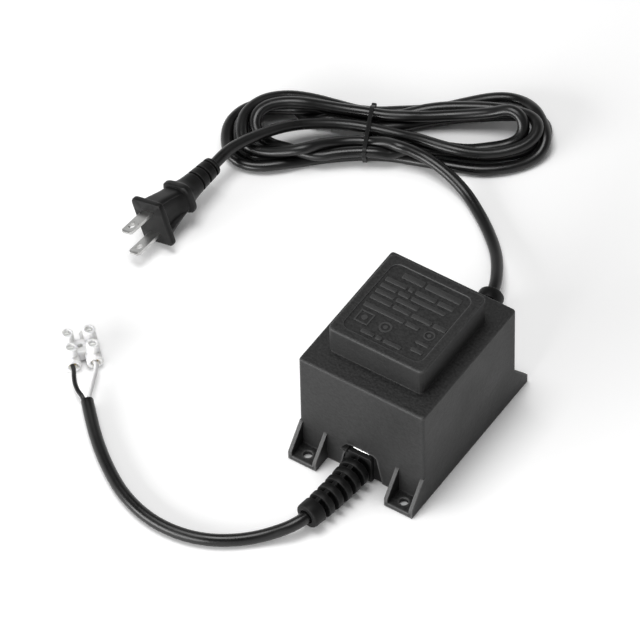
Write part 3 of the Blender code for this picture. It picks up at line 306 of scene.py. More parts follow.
# %% Mains cord
CORD_WIDTH = 0.0059
CORD_HEIGHT = 0.0050
MAINS_ROUTE = route([
    (-49, 797, 80), (-82, 885, 74), (-132, 975, 59), (-190, 1056, 44), (-260, 1129, 33),
    (-340, 1197, 28), (-425, 1257, 29), (-509, 1305, 38), (-594, 1335, 56), (-690, 1353, 78),
    (-780, 1360, 91), (-858, 1347, 110), (-920, 1329, 122), (-988, 1328, 107), (-1055, 1310, 88),
    (-1129, 1272, 85), (-1193, 1217, 89), (-1241, 1155, 107), (-1276, 1091, 122),
    (-1321, 1049, 116), (-1395, 1013, 94), (-1476, 986, 77), (-1542, 980, 74), (-1591, 1001, 77),
    (-1631, 1048, 86), (-1660, 1117, 93), (-1662, 1186, 97), (-1639, 1256, 97), (-1594, 1320, 89),
    (-1529, 1372, 80), (-1441, 1420, 62), (-1347, 1462, 39), (-1255, 1497, 25), (-1172, 1537, 25),
    (-1083, 1600, 25), (-995, 1664, 25), (-915, 1736, 25), (-841, 1817, 28), (-771, 1887, 33),
    (-703, 1932, 40), (-637, 1949, 48), (-569, 1940, 62), (-501, 1909, 76), (-431, 1856, 75),
    (-383, 1801, 71), (-363, 1749, 51), (-369, 1694, 33), (-400, 1628, 25), (-455, 1559, 25),
    (-527, 1500, 25), (-610, 1457, 25), (-716, 1416, 27), (-817, 1376, 30), (-899, 1352, 25),
    (-979, 1318, 26), (-1071, 1264, 27), (-1157, 1201, 27), (-1243, 1128, 25), (-1307, 1063, 26),
    (-1365, 997, 37), (-1435, 940, 34), (-1503, 909, 31), (-1564, 905, 35), (-1618, 926, 36),
    (-1671, 979, 28), (-1715, 1050, 25), (-1733, 1120, 25), (-1726, 1191, 25), (-1696, 1251, 25),
    (-1642, 1299, 27), (-1570, 1335, 29), (-1508, 1341, 28), (-1442, 1320, 25), (-1389, 1319, 37),
    (-1332, 1348, 52), (-1253, 1378, 50), (-1159, 1412, 42), (-1081, 1456, 43), (-1014, 1516, 40),
    (-945, 1597, 32), (-870, 1672, 28), (-786, 1743, 27), (-696, 1809, 26), (-605, 1870, 27),
    (-529, 1906, 25), (-477, 1910, 27), (-434, 1887, 26), (-409, 1843, 25), (-409, 1784, 25),
    (-432, 1715, 25), (-484, 1641, 30), (-546, 1580, 38), (-631, 1526, 46), (-720, 1483, 52),
    (-810, 1446, 48), (-862, 1410, 55), (-901, 1360, 73), (-949, 1303, 71), (-1004, 1267, 84),
    (-1080, 1225, 83), (-1161, 1164, 80), (-1227, 1112, 72), (-1304, 1085, 73), (-1389, 1068, 73),
    (-1467, 1066, 57), (-1532, 1071, 62), (-1578, 1091, 81), (-1602, 1126, 102),
    (-1606, 1172, 116), (-1584, 1225, 122), (-1533, 1277, 123), (-1458, 1321, 123),
    (-1381, 1368, 105), (-1289, 1416, 89), (-1196, 1459, 83), (-1097, 1494, 85), (-1014, 1535, 89),
    (-931, 1593, 83), (-847, 1653, 84), (-758, 1707, 94), (-666, 1756, 116), (-582, 1793, 149),
    (-520, 1793, 137), (-485, 1767, 102), (-486, 1726, 64), (-526, 1680, 39), (-596, 1616, 33),
    (-671, 1564, 26), (-759, 1523, 25), (-851, 1484, 25), (-946, 1429, 26), (-1041, 1370, 27),
    (-1130, 1307, 27), (-1214, 1234, 26), (-1298, 1159, 25), (-1369, 1080, 25), (-1430, 1014, 25),
    (-1497, 973, 25), (-1548, 964, 25), (-1595, 983, 26), (-1642, 1039, 35), (-1676, 1102, 44),
    (-1679, 1160, 47), (-1657, 1214, 47), (-1609, 1258, 50), (-1530, 1297, 62), (-1465, 1324, 73),
    (-1424, 1361, 59), (-1376, 1388, 35), (-1286, 1423, 28), (-1192, 1459, 26), (-1115, 1504, 36),
    (-1041, 1569, 54), (-962, 1643, 69), (-882, 1702, 78), (-788, 1757, 84), (-693, 1803, 91),
    (-602, 1832, 99), (-518, 1843, 108), (-462, 1831, 113), (-425, 1798, 116), (-409, 1752, 109),
    (-419, 1693, 99), (-457, 1630, 91), (-520, 1568, 85), (-595, 1515, 89), (-679, 1477, 98),
    (-774, 1454, 100), (-870, 1442, 95), (-964, 1427, 82), (-1065, 1402, 79), (-1163, 1369, 82),
    (-1252, 1325, 86), (-1330, 1269, 96), (-1399, 1201, 110), (-1456, 1123, 124),
    (-1506, 1031, 135), (-1547, 934, 144), (-1572, 845, 148), (-1582, 743, 141),
])
mains_line = [Vector((p.x, p.y, max(p.z, CORD_HEIGHT / 2))) for p in smooth_line(MAINS_ROUTE)]
mains_cord = cord_piece("mains_cord", mains_line, CORD_WIDTH, CORD_HEIGHT, cord_black)
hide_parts("mains_cord_lead", "mains_cord_hank", "mains_cord_tail")

# %% [markdown]
# ## Output cord and its two cores
# The shorter cord lies on the ground in one wide bend. Its round sheath stops
# before the terminal block, and the two insulated cores part there, rise a
# little and go into the block's tubes. Each core is a thin cord of its own.

# %% Output cord and cores
OUTPUT_ROUTE = route([
    (-36, -798, 80), (-49, -841, 78), (-81, -892, 66), (-144, -955, 43), (-205, -1013, 33),
    (-275, -1070, 31), (-355, -1118, 31), (-445, -1151, 31), (-545, -1167, 31), (-652, -1163, 31),
    (-758, -1138, 31), (-868, -1092, 31), (-978, -1024, 31), (-1080, -947, 31), (-1170, -868, 32),
    (-1243, -796, 35), (-1300, -738, 40),
])
BLACK_CORE_ROUTE = route([
    (-13160, -7430, 400), (-13360, -7300, 450), (-13660, -7160, 470), (-14000, -6900, 460),
    (-14310, -6560, 440), (-14590, -6180, 420), (-14860, -5920, 410), (-15280, -5514, 410),
], 100000)
WHITE_CORE_ROUTE = route([
    (-12970, -7230, 400), (-13110, -7010, 450), (-13250, -6680, 470), (-13460, -6210, 460),
    (-13700, -5680, 440), (-13940, -5300, 420), (-14130, -5164, 410), (-14549, -4758, 410),
], 100000)
SHEATH_WIDTH = 0.0061
CORE_WIDTH = 0.0022
output_line = smooth_line(OUTPUT_ROUTE)
output_cord = cord_piece("output_sheath", output_line, SHEATH_WIDTH, SHEATH_WIDTH - 0.0002,
                         cord_black, 24)
black_wire = cord_piece("black_wire", smooth_line(BLACK_CORE_ROUTE), CORE_WIDTH, CORE_WIDTH,
                        core_black, 16)
white_wire = cord_piece("white_wire", smooth_line(WHITE_CORE_ROUTE), CORE_WIDTH, CORE_WIDTH,
                        core_white, 16)
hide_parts("output_cord")
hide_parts("black_core")
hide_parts("white_core")

# %% [markdown]
# ## Mesh helpers
# The small pieces are drawn in a bmesh, and four steps come back in most of
# them: edges are rounded, a row of rings is bridged into a closed skin,
# millimetres become metres, and the result gets normals that point outwards, is
# written to a mesh and placed.

# %% Mesh helpers


def ease(bm, edges, offset, segments):
    return bmesh.ops.bevel(bm, geom=list(edges), offset=offset, segments=segments,
                           profile=0.5, affect="EDGES", material=-1)


def bridge_rings(bm, rings):
    # The skin over a row of rings, closed at both ends. Returns the faces of the first end
    for near, far in zip(rings, rings[1:]):
        edges = {e for ring in (near, far) for v in ring for e in v.link_edges
                 if all(end in ring for end in e.verts)}
        bmesh.ops.bridge_loops(bm, edges=list(edges))
    bmesh.ops.contextual_create(bm, geom=rings[-1])
    return bmesh.ops.contextual_create(bm, geom=rings[0])["faces"]


def to_metres(bm, lift=0.0):
    bmesh.ops.scale(bm, vec=(0.001, 0.001, 0.001), verts=bm.verts)
    bmesh.ops.translate(bm, vec=(0, 0, lift), verts=bm.verts)


def mesh_from(bm, name):
    mesh = bpy.data.meshes.new(name)
    bm.to_mesh(mesh)
    bm.free()
    return mesh


def piece_from(bm, name, material, sharp=35.0):
    bmesh.ops.recalc_face_normals(bm, faces=bm.faces)
    return place_piece(name, mesh_from(bm, name), material, sharp)


print("mesh helpers ready")

# %% [markdown]
# ## Tie round the hank
# A thin black band holds the strands at the waist of the hank and is pulled up
# behind into a small lock. It lies tight on whatever strands are there, so its
# shape is the convex hull of their sections: the way a string pulls taut round
# a bundle. The hull's two flat ends are taken off, and the band that is left
# gets its thickness.

# %% Tie
HANK_MIDDLE = Vector((-0.1119, 0.1382, 0.0))
TIE_TURN = math.radians(25.6)
TIE_WIDTH = 0.0019
TIE_THICKNESS = 0.0008
TIE_CLEARANCE = 0.0001  # above the ground
WAIST_REACH = 0.03  # no strand at the tie lies farther from the hank's middle
HULL_SIDES = 16
tie_place = Matrix.Translation(HANK_MIDDLE) @ Matrix.Rotation(TIE_TURN, 4, "Z")


def strands_at_tie(line):
    # Where the cord crosses the tie, in the hank's own axes
    back = tie_place.inverted()
    local = [back @ p for p in line]
    found = []
    for a, b in zip(local, local[1:]):
        if a.x * b.x <= 0 and abs(a.y) < WAIST_REACH:
            found.append(a.lerp(b, a.x / (a.x - b.x)) if a.x != b.x else a)
    return found


def satin_finish(name, dark, light, roughness, specular, grain, depth, highlight_and_wear=0.6, radius=0.0004,
                 painted_shade_reach=0.0):
    # Moulded satin plastic: fine grain, uneven gloss, and paler edges that are a painted
    # highlight with some wear. Recesses narrower than the given reach get a darker colour,
    # which is painted shade, and a duller gloss, since nothing rubs or polishes them.
    material, tree, shader, place, cloud = new_finish(name, roughness, 45.0, specular=specular)
    fine = noise(tree, place, grain, 2.0)
    soft, edge = edge_highlight_and_wear(tree, radius, highlight_and_wear)
    colour = blend_colours(tree, spread(tree, cloud, 0.0, 1.0), grey(dark), grey(light))
    # Painted highlight along the edges, with some wear
    colour = blend_colours(tree, edge, colour, grey(light * 4.0))
    gloss = spread(tree, cloud, roughness - 0.05, roughness + 0.07)
    if painted_shade_reach:
        opening = add(tree, "AmbientOcclusion", {"samples": 8, "only_local": True},
                      Distance=painted_shade_reach)
        share = spread(tree, opening.outputs["AO"], 0.0, 1.0, 0.25, 0.75)
        # Painted shade: the colour darkens in narrow recesses
        colour = blend_colours(tree, share, grey(dark * 0.2), colour)
        gloss = add(tree, "MapRange", Value=share, To_Min=0.95, To_Max=gloss).outputs["Result"]
    connect(tree, shader, colour, gloss, bump(tree, fine, depth, under=soft))
    return material


tie_black = satin_finish("tie_black", 0.004, 0.008, 0.40, 0.22, 900.0, 0.00002, 0.2)
strands = strands_at_tie(mains_line)
bm = bmesh.new()
for strand in strands:
    for i in range(HULL_SIDES):
        turn = math.tau * i / HULL_SIDES
        y = strand.y + CORD_WIDTH / 2 * math.cos(turn)
        z = max(strand.z + CORD_HEIGHT / 2 * math.sin(turn), TIE_CLEARANCE + TIE_THICKNESS)
        for x in (-TIE_WIDTH / 2, TIE_WIDTH / 2):
            bm.verts.new((x, y, z))
hull = bmesh.ops.convex_hull(bm, input=bm.verts)
inner = {v for v in hull["geom_interior"] + hull["geom_unused"]
         if isinstance(v, bmesh.types.BMVert)}
bmesh.ops.delete(bm, geom=list(inner), context="VERTS")
bmesh.ops.delete(bm, geom=[f for f in bm.faces if abs(f.normal.x) > 0.9], context="FACES_ONLY")
bmesh.ops.recalc_face_normals(bm, faces=bm.faces)
bmesh.ops.solidify(bm, geom=bm.faces[:], thickness=-TIE_THICKNESS)
top = max(v.co.z for v in bm.verts)
low = min(v.co.z for v in bm.verts)
bmesh.ops.transform(bm, matrix=tie_place, verts=bm.verts)
hank_band = piece_from(bm, "hank_band", tie_black, 40.0)
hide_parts("hank_tie")
print("strands under the tie:", len(strands), "band from", round(low, 5), "to", round(top, 5))

# %% [markdown]
# The lock is a small rounded block that the band runs into at the top of the
# bundle's back.

# %% Tie lock
LOCK_SIZE = (0.0024, 0.0030, 0.0022)
LOCK_LEAN = math.radians(-48)
LOCK_BEHIND, LOCK_ABOVE = 0.0026, 0.0020  # from the middle of the strand under it
back_top = max(strands, key=lambda strand: strand.y + 0.6 * strand.z)
bm = bmesh.new()
bmesh.ops.create_cube(bm, size=1.0)
bmesh.ops.scale(bm, vec=LOCK_SIZE, verts=bm.verts)
ease(bm, bm.edges, 0.0006, 3)
bmesh.ops.rotate(bm, cent=(0, 0, 0), matrix=Matrix.Rotation(LOCK_LEAN, 3, "X"), verts=bm.verts)
bmesh.ops.translate(bm, vec=(0, back_top.y + LOCK_BEHIND, back_top.z + LOCK_ABOVE),
                    verts=bm.verts)
bmesh.ops.transform(bm, matrix=tie_place, verts=bm.verts)
tie_lock = piece_from(bm, "tie_lock", tie_black)
print("lock at", [round(c, 4) for c in tie_place @ Vector((0, back_top.y, back_top.z))])

# %% [markdown]
# ## Strain reliefs
# Each cord leaves the box through a soft moulding that spreads its bending: a
# plate behind the wall, a block in front of it, and a taper of ribs. The slots
# between the ribs are open at both sides, and a narrow spine joins the ribs above
# and below, so the taper bends sideways with the cord. The solids give the same
# relief with a wide, flat spine. Here the ribs come from rings whose radius dips
# in each slot except at the spine, and the whole row is then bent sideways, just
# as far as in the solids.

# %% Strain reliefs
WALL_PLACE = 39.5  # millimetres from the middle of the box to the end walls' faces
RELIEF_AXIS = 8.0
RELIEF_END = 41.0
BLOCK_FACE = 2.4
RIB_RADII = (7.6, 6.3)  # at the block and at the end
RIM_START, RIM_STOP, RIM_DROP = 0.35, 0.08, 0.14  # how a rib's rim is eased
RELIEF_SLABS = [  # half widths at foot and top, foot, top, back, front, corner, rim
    (13.3, 9.9, 0.3, 18.8, -4.8, -2.75, 1.6, 0.2),
    (11.0, 7.4, 0.3, 16.4, -2.8, -0.5, 1.2, 0.12),
    (6.8, 6.8, 0.8, 16.0, -1.3, BLOCK_FACE, 1.2, 0.35),
]
OUTPUT_SWAY, MAINS_SWAY = -3.7, 5.0  # how far the ends bend sideways
SLOT_COUNT, SLOT_PITCH, SLOT_WIDTH, SLOT_DEPTH = 6, 5.9, 2.5, 3.5
SPINE_HALF, SPINE_BELOW = 1.15, 0.9
MOUTH_RADIUS, MOUTH_DEPTH = 3.65, 1.2


def rib_radius(z):
    first, last = RIB_RADII
    return first - (first - last) * (z - BLOCK_FACE) / (RELIEF_END - BLOCK_FACE)


def rib_rings():
    # (distance from the wall, radius between the spines, radius at the spines)
    rings = []

    def even(z, radius):
        rings.append((z, radius, radius))

    for k in range(SLOT_COUNT):
        near = BLOCK_FACE + k * SLOT_PITCH
        far = near + SLOT_WIDTH
        if k:
            even(near - RIM_START, rib_radius(near))
            even(near - RIM_STOP, rib_radius(near) - RIM_DROP)
        for z in (near if k else -1.0, far):
            rings.append((z, rib_radius(z) - SLOT_DEPTH, rib_radius(z) - SPINE_BELOW))
        even(far + RIM_STOP, rib_radius(far) - RIM_DROP)
        even(far + RIM_START, rib_radius(far))
    for back, less in ((1.2, 0.0), (0.6, 0.12), (0.2, 0.45), (0.0, 1.1)):
        even(RELIEF_END - back, rib_radius(RELIEF_END - back) - less)
    even(RELIEF_END, MOUTH_RADIUS + 0.25)
    even(RELIEF_END - 0.2, MOUTH_RADIUS)
    even(RELIEF_END - MOUTH_DEPTH, MOUTH_RADIUS)
    return rings


def add_ribs(bm):
    rings = []
    for z, between, spine in rib_rings():
        ring = bmesh.ops.create_circle(bm, segments=72, radius=1.0)["verts"]
        for vertex in ring:
            reach = spine if abs(vertex.co.x) * spine < SPINE_HALF else between
            vertex.co = vertex.co * reach + Vector((0, RELIEF_AXIS, z))
        rings.append(ring)
    bridge_rings(bm, rings)


def add_slab(bm, foot_half, top_half, foot, top, near, far, corner, rim):
    # A slab with its own width at foot and top, round top corners and an eased front rim
    made = bmesh.ops.create_cube(bm, size=1.0)["verts"]
    for vertex in made:
        half = top_half if vertex.co.y > 0 else foot_half
        vertex.co = (math.copysign(half, vertex.co.x), top if vertex.co.y > 0 else foot,
                     far if vertex.co.z > 0 else near)
    corners = {e for v in made for e in v.link_edges
               if all(end.co.y == top for end in e.verts) and e.verts[0].co.z != e.verts[1].co.z}
    cut = ease(bm, corners, corner, 4)
    front = {e for v in set(made + cut["verts"]) if v.is_valid for e in v.link_edges
             if all(abs(end.co.z - far) < 1e-5 for end in e.verts)}
    ease(bm, front, rim, 2)


def bend_sideways(verts, offset):
    # The same arc as in the solids: it starts at the block and moves the end by offset
    length = RELIEF_END - BLOCK_FACE
    angle = 2 * math.asin(offset / length)
    radius = length / angle
    for vertex in verts:
        x, y, z = vertex.co
        if z > BLOCK_FACE:
            turn = (z - BLOCK_FACE) / radius
            vertex.co = (radius * (1 - math.cos(turn)) + x * math.cos(turn), y,
                         BLOCK_FACE + radius * math.sin(turn) - x * math.sin(turn))


def relief_piece(name, node, front, sway):
    # front is -1 for the front wall and 1 for the back wall
    bm = bmesh.new()
    for slab in RELIEF_SLABS:
        add_slab(bm, *slab)
    add_ribs(bm)
    bend_sideways(bm.verts, sway)
    stand = Matrix.Translation((0, front * WALL_PLACE, 0)) @ Matrix.Rotation(
        math.pi if front > 0 else 0, 4, "Z") @ Matrix.Rotation(math.pi / 2, 4, "X")
    bmesh.ops.transform(bm, matrix=Matrix.Scale(0.001, 4) @ stand, verts=bm.verts)
    print(name, len(bm.faces), "faces,", sum(not e.is_manifold for e in bm.edges), "open edges")
    piece = piece_from(bm, name, relief_black, 32.0)
    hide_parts(node)


# Painted highlight along the rib edges, with some wear, and painted shade in the slots
relief_black = satin_finish("relief_black", 0.003, 0.008, 0.44, 0.15, 1200.0, 0.00003, 0.9,
                            painted_shade_reach=0.005)
relief_piece("output_relief", "output_strain_relief", -1, OUTPUT_SWAY)
relief_piece("mains_relief", "mains_strain_relief", 1, MAINS_SWAY)

# %% [markdown]
# Two small things stand at the front relief: a thin flap of the moulding that
# stands out at the block's top left corner, and a thin pale bead along the top of
# the notch, which paints the bright highlight there. The bead is a row of rings
# that swell and taper; the flap is a thin block with one end drawn to a point.

# %% Highlight bead and flap
BEAD_LEFT, BEAD_RIGHT, BEAD_HEIGHT, BEAD_OUT = -4.4, 4.8, 16.9, 0.2
BEAD_RADIUS, BEAD_RINGS = 0.32, 15
FLAP_LEFT, FLAP_RIGHT, FLAP_FOOT, FLAP_TOP = -9.7, -6.2, 14.2, 16.2
FLAP_REACH, FLAP_ROOT = 3.1, 0.3  # its tip and its root, out from the wall
ROOT_INSET, ROOT_RISE, POINT_RISE = 1.6, 0.5, 1.1

bm = bmesh.new()
rings = []
for i in range(BEAD_RINGS):
    share = 0.02 + 0.96 * i / (BEAD_RINGS - 1)  # stops short of the ends, where the radius is 0
    radius = BEAD_RADIUS * math.sin(math.pi * share ** 0.7) ** 0.8
    at = (BEAD_LEFT + (BEAD_RIGHT - BEAD_LEFT) * share, -BEAD_OUT - WALL_PLACE, BEAD_HEIGHT)
    turn = Matrix.Translation(at) @ Matrix.Rotation(math.pi / 2, 4, "Y")
    rings.append(bmesh.ops.create_circle(bm, segments=14, radius=radius, matrix=turn)["verts"])
bridge_rings(bm, rings)
to_metres(bm)
# The pale bead is a painted highlight along the top of the notch
pale_highlight_bead = satin_finish("pale_highlight_bead", 0.78, 0.90, 0.34, 0.5, 900.0, 0.00004, 0.2, 0.0002)
piece_from(bm, "highlight_bead", pale_highlight_bead, 60.0)

bm = bmesh.new()
for vertex in bmesh.ops.create_cube(bm, size=1.0)["verts"]:
    outer, upper, away = vertex.co.x < 0, vertex.co.z > 0, vertex.co.y < 0
    x = FLAP_LEFT + (0.0 if away else ROOT_INSET) if outer else FLAP_RIGHT
    y = -WALL_PLACE - (FLAP_REACH if away else FLAP_ROOT)
    if upper:
        z = FLAP_TOP + (0.0 if away else ROOT_RISE)
    else:
        z = FLAP_FOOT + (POINT_RISE if outer else 0.0)
    vertex.co = (x, y, z)
ease(bm, bm.edges, 0.15, 2)
to_metres(bm)
relief_flap = piece_from(bm, "relief_flap", relief_black)
print("bead rings:", len(rings), "flap faces:", len(relief_flap.data.polygons))

# %% [markdown]
# ## Plug body
# The plug is one moulding over its two blades: a thick face, a grip that narrows
# behind it, a raised collar and a tapered neck with three grooves that let it
# flex. On the real one a mould closes along its length, so every section across
# it is a soft rectangle that turns into a circle. It is built the same way: rings
# of vertices, each moved onto its section, and bridged. The solids give a simpler
# grip, and their flange, collar and neck keep their sizes here.

# %% Plug body
PLUG_FACE = Vector((-0.1622, 0.0271, 0.0140))
PLUG_HEADING = math.radians(4.85)
PLUG_ROLL = math.radians(18.4)
RING_SIDES = 96
PLUG_SECTIONS = [  # width, height, squareness and distance from the face, in millimetres
    (17.8, 23.4, 11.0, 0.0), (18.6, 24.2, 11.0, 0.25), (19.0, 24.6, 11.0, 0.8),
    (19.0, 24.6, 11.0, 2.5), (18.6, 24.2, 11.0, 3.0), (17.6, 23.4, 9.0, 3.2),
    (15.0, 21.8, 6.0, 3.5), (14.2, 21.0, 5.0, 4.2), (13.8, 20.6, 5.0, 5.0), (13.4, 20.0, 5.0, 6.2),
    (13.2, 19.3, 4.6, 7.8), (13.0, 18.5, 4.4, 9.4), (12.9, 17.5, 4.2, 11.2),
    (12.9, 16.4, 4.0, 13.0), (13.0, 15.3, 4.0, 14.8), (13.2, 14.3, 4.0, 16.6),
    (13.5, 13.4, 3.8, 18.2), (13.9, 13.0, 3.8, 19.4), (16.0, 15.2, 4.0, 19.8),
    (17.0, 16.0, 4.2, 20.4), (17.0, 16.0, 4.2, 22.2), (16.4, 15.4, 4.0, 22.9),
    (14.2, 13.8, 3.2, 23.8), (12.8, 12.8, 2.4, 25.0), (12.2, 12.2, 2.1, 27.5),
    (11.5, 11.5, 2.0, 31.0),
]
NECK_START, NECK_END = 31.0, 46.6
NECK_RADII = (5.75, 4.80)
NECK_GROOVES = (32.6, 37.9, 43.2)
GROOVE_WIDTH, GROOVE_DEPTH = 1.3, 0.95
THUMB_SCOOP = (4.2, 18.2)
BLADE_SLOTS = (6.35, 3.28, 0.85, 8.1)  # from the middle, half width, half thickness, depth


def plug_matrix():
    # Local Z from the face towards the cord, local Y along the row of blades
    along = Vector((math.sin(PLUG_HEADING), math.cos(PLUG_HEADING), 0.0))
    across = Vector((math.cos(PLUG_HEADING), -math.sin(PLUG_HEADING), 0.0))
    wide = across * math.cos(PLUG_ROLL) + across.cross(along) * math.sin(PLUG_ROLL)
    turn = Matrix((wide, along.cross(wide), along)).transposed().to_4x4()
    return Matrix.Translation(PLUG_FACE) @ turn @ Matrix.Diagonal((0.001, 0.001, 0.001, 1.0))


def neck_sections():
    # A plain taper from the last section to the end, cut by the grooves
    wide, slim = NECK_RADII

    def radius(z):
        return wide - (wide - slim) * (z - NECK_START) / (NECK_END - NECK_START)

    rings = []
    for start in NECK_GROOVES:
        stop = start + GROOVE_WIDTH
        for z, cut in ((start - 0.15, 0.0), (start, 0.12), (start + 0.12, GROOVE_DEPTH),
                       (stop - 0.12, GROOVE_DEPTH), (stop, 0.12), (stop + 0.15, 0.0)):
            rings.append((radius(z) - cut, z))
    rings += [(slim, NECK_END - 0.9), (4.62, NECK_END - 0.35), (4.2, NECK_END - 0.05),
              (3.3, NECK_END)]
    return [(2 * r, 2 * r, 2.0, z) for r, z in rings]


def soft_step(value, start, stop):
    share = min(1.0, max(0.0, (value - start) / (stop - start)))
    return share * share * (3 - 2 * share)


def section_point(turn, width, height, squareness, z):
    c, s = math.cos(turn), math.sin(turn)
    x = width / 2 * math.copysign(abs(c) ** (2 / squareness), c)
    y = height / 2 * math.copysign(abs(s) ** (2 / squareness), s)
    near, far = THUMB_SCOOP
    if near < z < far:
        # The scoop under the thumb: deepest near the face, its lower rim left standing.
        # side is the angle above the grip's middle, in degrees
        lean = (z - near) / (far - near)
        side = math.degrees(math.atan2(s, abs(c)))
        inside = soft_step(side, -42.0, -36.0)
        inside *= 1 - soft_step(side, 9.0 + 14.0 * lean, 14.0 + 16.0 * lean)
        low = soft_step(side, -10.0, 9.0 + 12.0 * lean)
        ends = soft_step(z, near, near + 0.8) * (1 - soft_step(z, far - 3.0, far))
        x -= math.copysign(inside * ends * (0.95 + 1.3 * low * (1 - lean)), c)
    return (x, y, z)


# Painted highlight along the edges, with some wear, and painted shade in the grooves and hollows
plug_black = satin_finish("plug_black", 0.003, 0.009, 0.42, 0.18, 1200.0, 0.00003, 0.9,
                          painted_shade_reach=0.005)
bm = bmesh.new()
rings = []
for section in PLUG_SECTIONS + neck_sections():
    ring = bmesh.ops.create_circle(bm, segments=RING_SIDES, radius=1.0)["verts"]
    for vertex in ring:
        vertex.co = section_point(math.atan2(vertex.co.y, vertex.co.x), *section)
    rings.append(ring)
face = bridge_rings(bm, rings)
middle, half_width, half_thick, depth = BLADE_SLOTS
cuts = [((half_width, 0, 0), (1, 0, 0)), ((-half_width, 0, 0), (1, 0, 0))]
cuts += [((0, side * middle + edge * half_thick, 0), (0, 1, 0))
         for side in (-1, 1) for edge in (-1, 1)]
for place, normal in cuts:
    whole = {g for f in face for g in (f, *f.edges, *f.verts)}
    made = bmesh.ops.bisect_plane(bm, geom=list(whole), plane_co=place, plane_no=normal)["geom"]
    face = [g for g in made if isinstance(g, bmesh.types.BMFace)]
slots = [f for f in face if abs(f.calc_center_median().x) < half_width / 2
         and abs(abs(f.calc_center_median().y) - middle) < half_thick / 2]
for slot in slots:
    grown = bmesh.ops.extrude_discrete_faces(bm, faces=[slot])["faces"]
    bmesh.ops.translate(bm, vec=(0, 0, depth), verts=grown[0].verts[:])
bmesh.ops.transform(bm, matrix=plug_matrix(), verts=bm.verts)
open_edges = sum(not e.is_manifold for e in bm.edges)
plug_grip = piece_from(bm, "plug_grip", plug_black, 32.0)
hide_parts("plug_body")
print("plug:", len(rings), "rings,", len(plug_grip.data.polygons), "faces,", len(slots), "slots,",
      open_edges, "open edges, lowest", round(min(v.co.z for v in plug_grip.data.vertices), 5))

print("mains", round(line_length(mains_line), 3), "m, output",
      round(line_length(output_line), 3), "m")

# %% [markdown]
# ## Ground and light
# The ground is a plain pale sheet that takes the object's shadow. It also glows a
# little, and far off it turns white for the camera alone, so that it meets the
# background with no horizon. In the narrow places beside the object the glow
# fades away: painted shade that deepens the shadow there.
# The world lights the object with a dim grey. Seen by the camera it is white, and
# mirrored it is white near the horizon and dim overhead. Two large soft lamps
# give the object its modelling: one high above, and one wide and low in front,
# at the left.

# %% Ground


def choose(tree, share, first, second):
    # A number that is first where share is 0 and second where it is 1
    return add(tree, "Mix", Factor=share, A=first, B=second).outputs[0]


GROUND_MIDDLE = (-0.07, 0.04)
GROUND_HALF, GROUND_DROP = 2.0, 0.0002
SHADE_REACH, GLOW = 0.028, 0.31
WHITE_FROM, WHITE_TO = 0.5, 1.5  # metres from the middle of the ground
ground_white = bpy.data.materials.new("ground_white")
ground_white.use_nodes = True
tree = ground_white.node_tree
tree.nodes.clear()
sheet = add(tree, "BsdfDiffuse", Color=grey(0.86))
# Painted shade: the glow fades where the object hems the ground in
opening = add(tree, "AmbientOcclusion", {"samples": 8}, Distance=SHADE_REACH)
near = spread(tree, opening.outputs["AO"], 0.0, GLOW, 0.30, 0.80)
centred = add(tree, "Mapping", Vector=add(tree, "TexCoord").outputs["Object"],
              Location=(-GROUND_MIDDLE[0], -GROUND_MIDDLE[1], 0.0))
away = add(tree, "VectorMath", {"operation": "LENGTH"}, Vector=centred.outputs["Vector"])
far = spread(tree, away.outputs["Value"], near, 1.0, WHITE_FROM, WHITE_TO)
seen = choose(tree, add(tree, "LightPath").outputs["Is Camera Ray"], near, far)
glow = add(tree, "Emission", Color=grey(1.0), Strength=seen)
both = add(tree, "AddShader")
tree.links.new(sheet.outputs[0], both.inputs[0])
tree.links.new(glow.outputs[0], both.inputs[1])
add(tree, "OutputMaterial", Surface=both.outputs[0])
bm = bmesh.new()
bmesh.ops.create_grid(bm, x_segments=2, y_segments=2, size=GROUND_HALF)
bmesh.ops.translate(bm, vec=(*GROUND_MIDDLE, -GROUND_DROP), verts=bm.verts)
ground = new_object("ground", mesh_from(bm, "ground"))
ground.data.materials.append(ground_white)
print("ground:", [round(d, 2) for d in ground.dimensions], "m")

# %% World and lamps
world = bpy.data.worlds.new("studio")
bpy.context.scene.world = world
world.use_nodes = True
tree = world.node_tree
tree.nodes.clear()
CEILING_MIRRORED = 0.16
CEILING_FROM, CEILING_TO = 0.25, 0.60  # heights of the view's direction
AMBIENT = 0.10

direction = add(tree, "TexCoord").outputs["Generated"]
height = add(tree, "SeparateXYZ", Vector=direction).outputs["Z"]
mirrored = spread(tree, height, 1.0, CEILING_MIRRORED, CEILING_FROM, CEILING_TO)
path = add(tree, "LightPath")
through = choose(tree, path.outputs["Is Transmission Ray"], AMBIENT, mirrored)
glossed = choose(tree, path.outputs["Is Glossy Ray"], through, mirrored)
strength = choose(tree, path.outputs["Is Camera Ray"], glossed, 1.0)
surround = add(tree, "Background", Color=grey(1.0), Strength=strength)
add(tree, "OutputWorld", Surface=surround.outputs[0])

LIGHT_TARGET = Vector((-0.05, 0.03, 0.03))


def soft_lamp(name, place, width, height, watts):
    lamp = bpy.data.lights.new(name, "AREA")
    lamp.shape = "RECTANGLE"
    lamp.size, lamp.size_y = width, height
    lamp.energy = watts
    aim = (LIGHT_TARGET - Vector(place)).to_track_quat("-Z", "Y")
    thing = new_object(name, lamp)
    thing.matrix_world = Matrix.Translation(place) @ aim.to_matrix().to_4x4()


soft_lamp("overhead_lamp", (-0.30, -0.02, 1.8), width=0.9, height=0.9, watts=18.5)
soft_lamp("front_lamp", (-0.6, -1.7, 0.46), width=2.2, height=0.8, watts=55.0)
bpy.context.scene.view_settings.view_transform = "Standard"
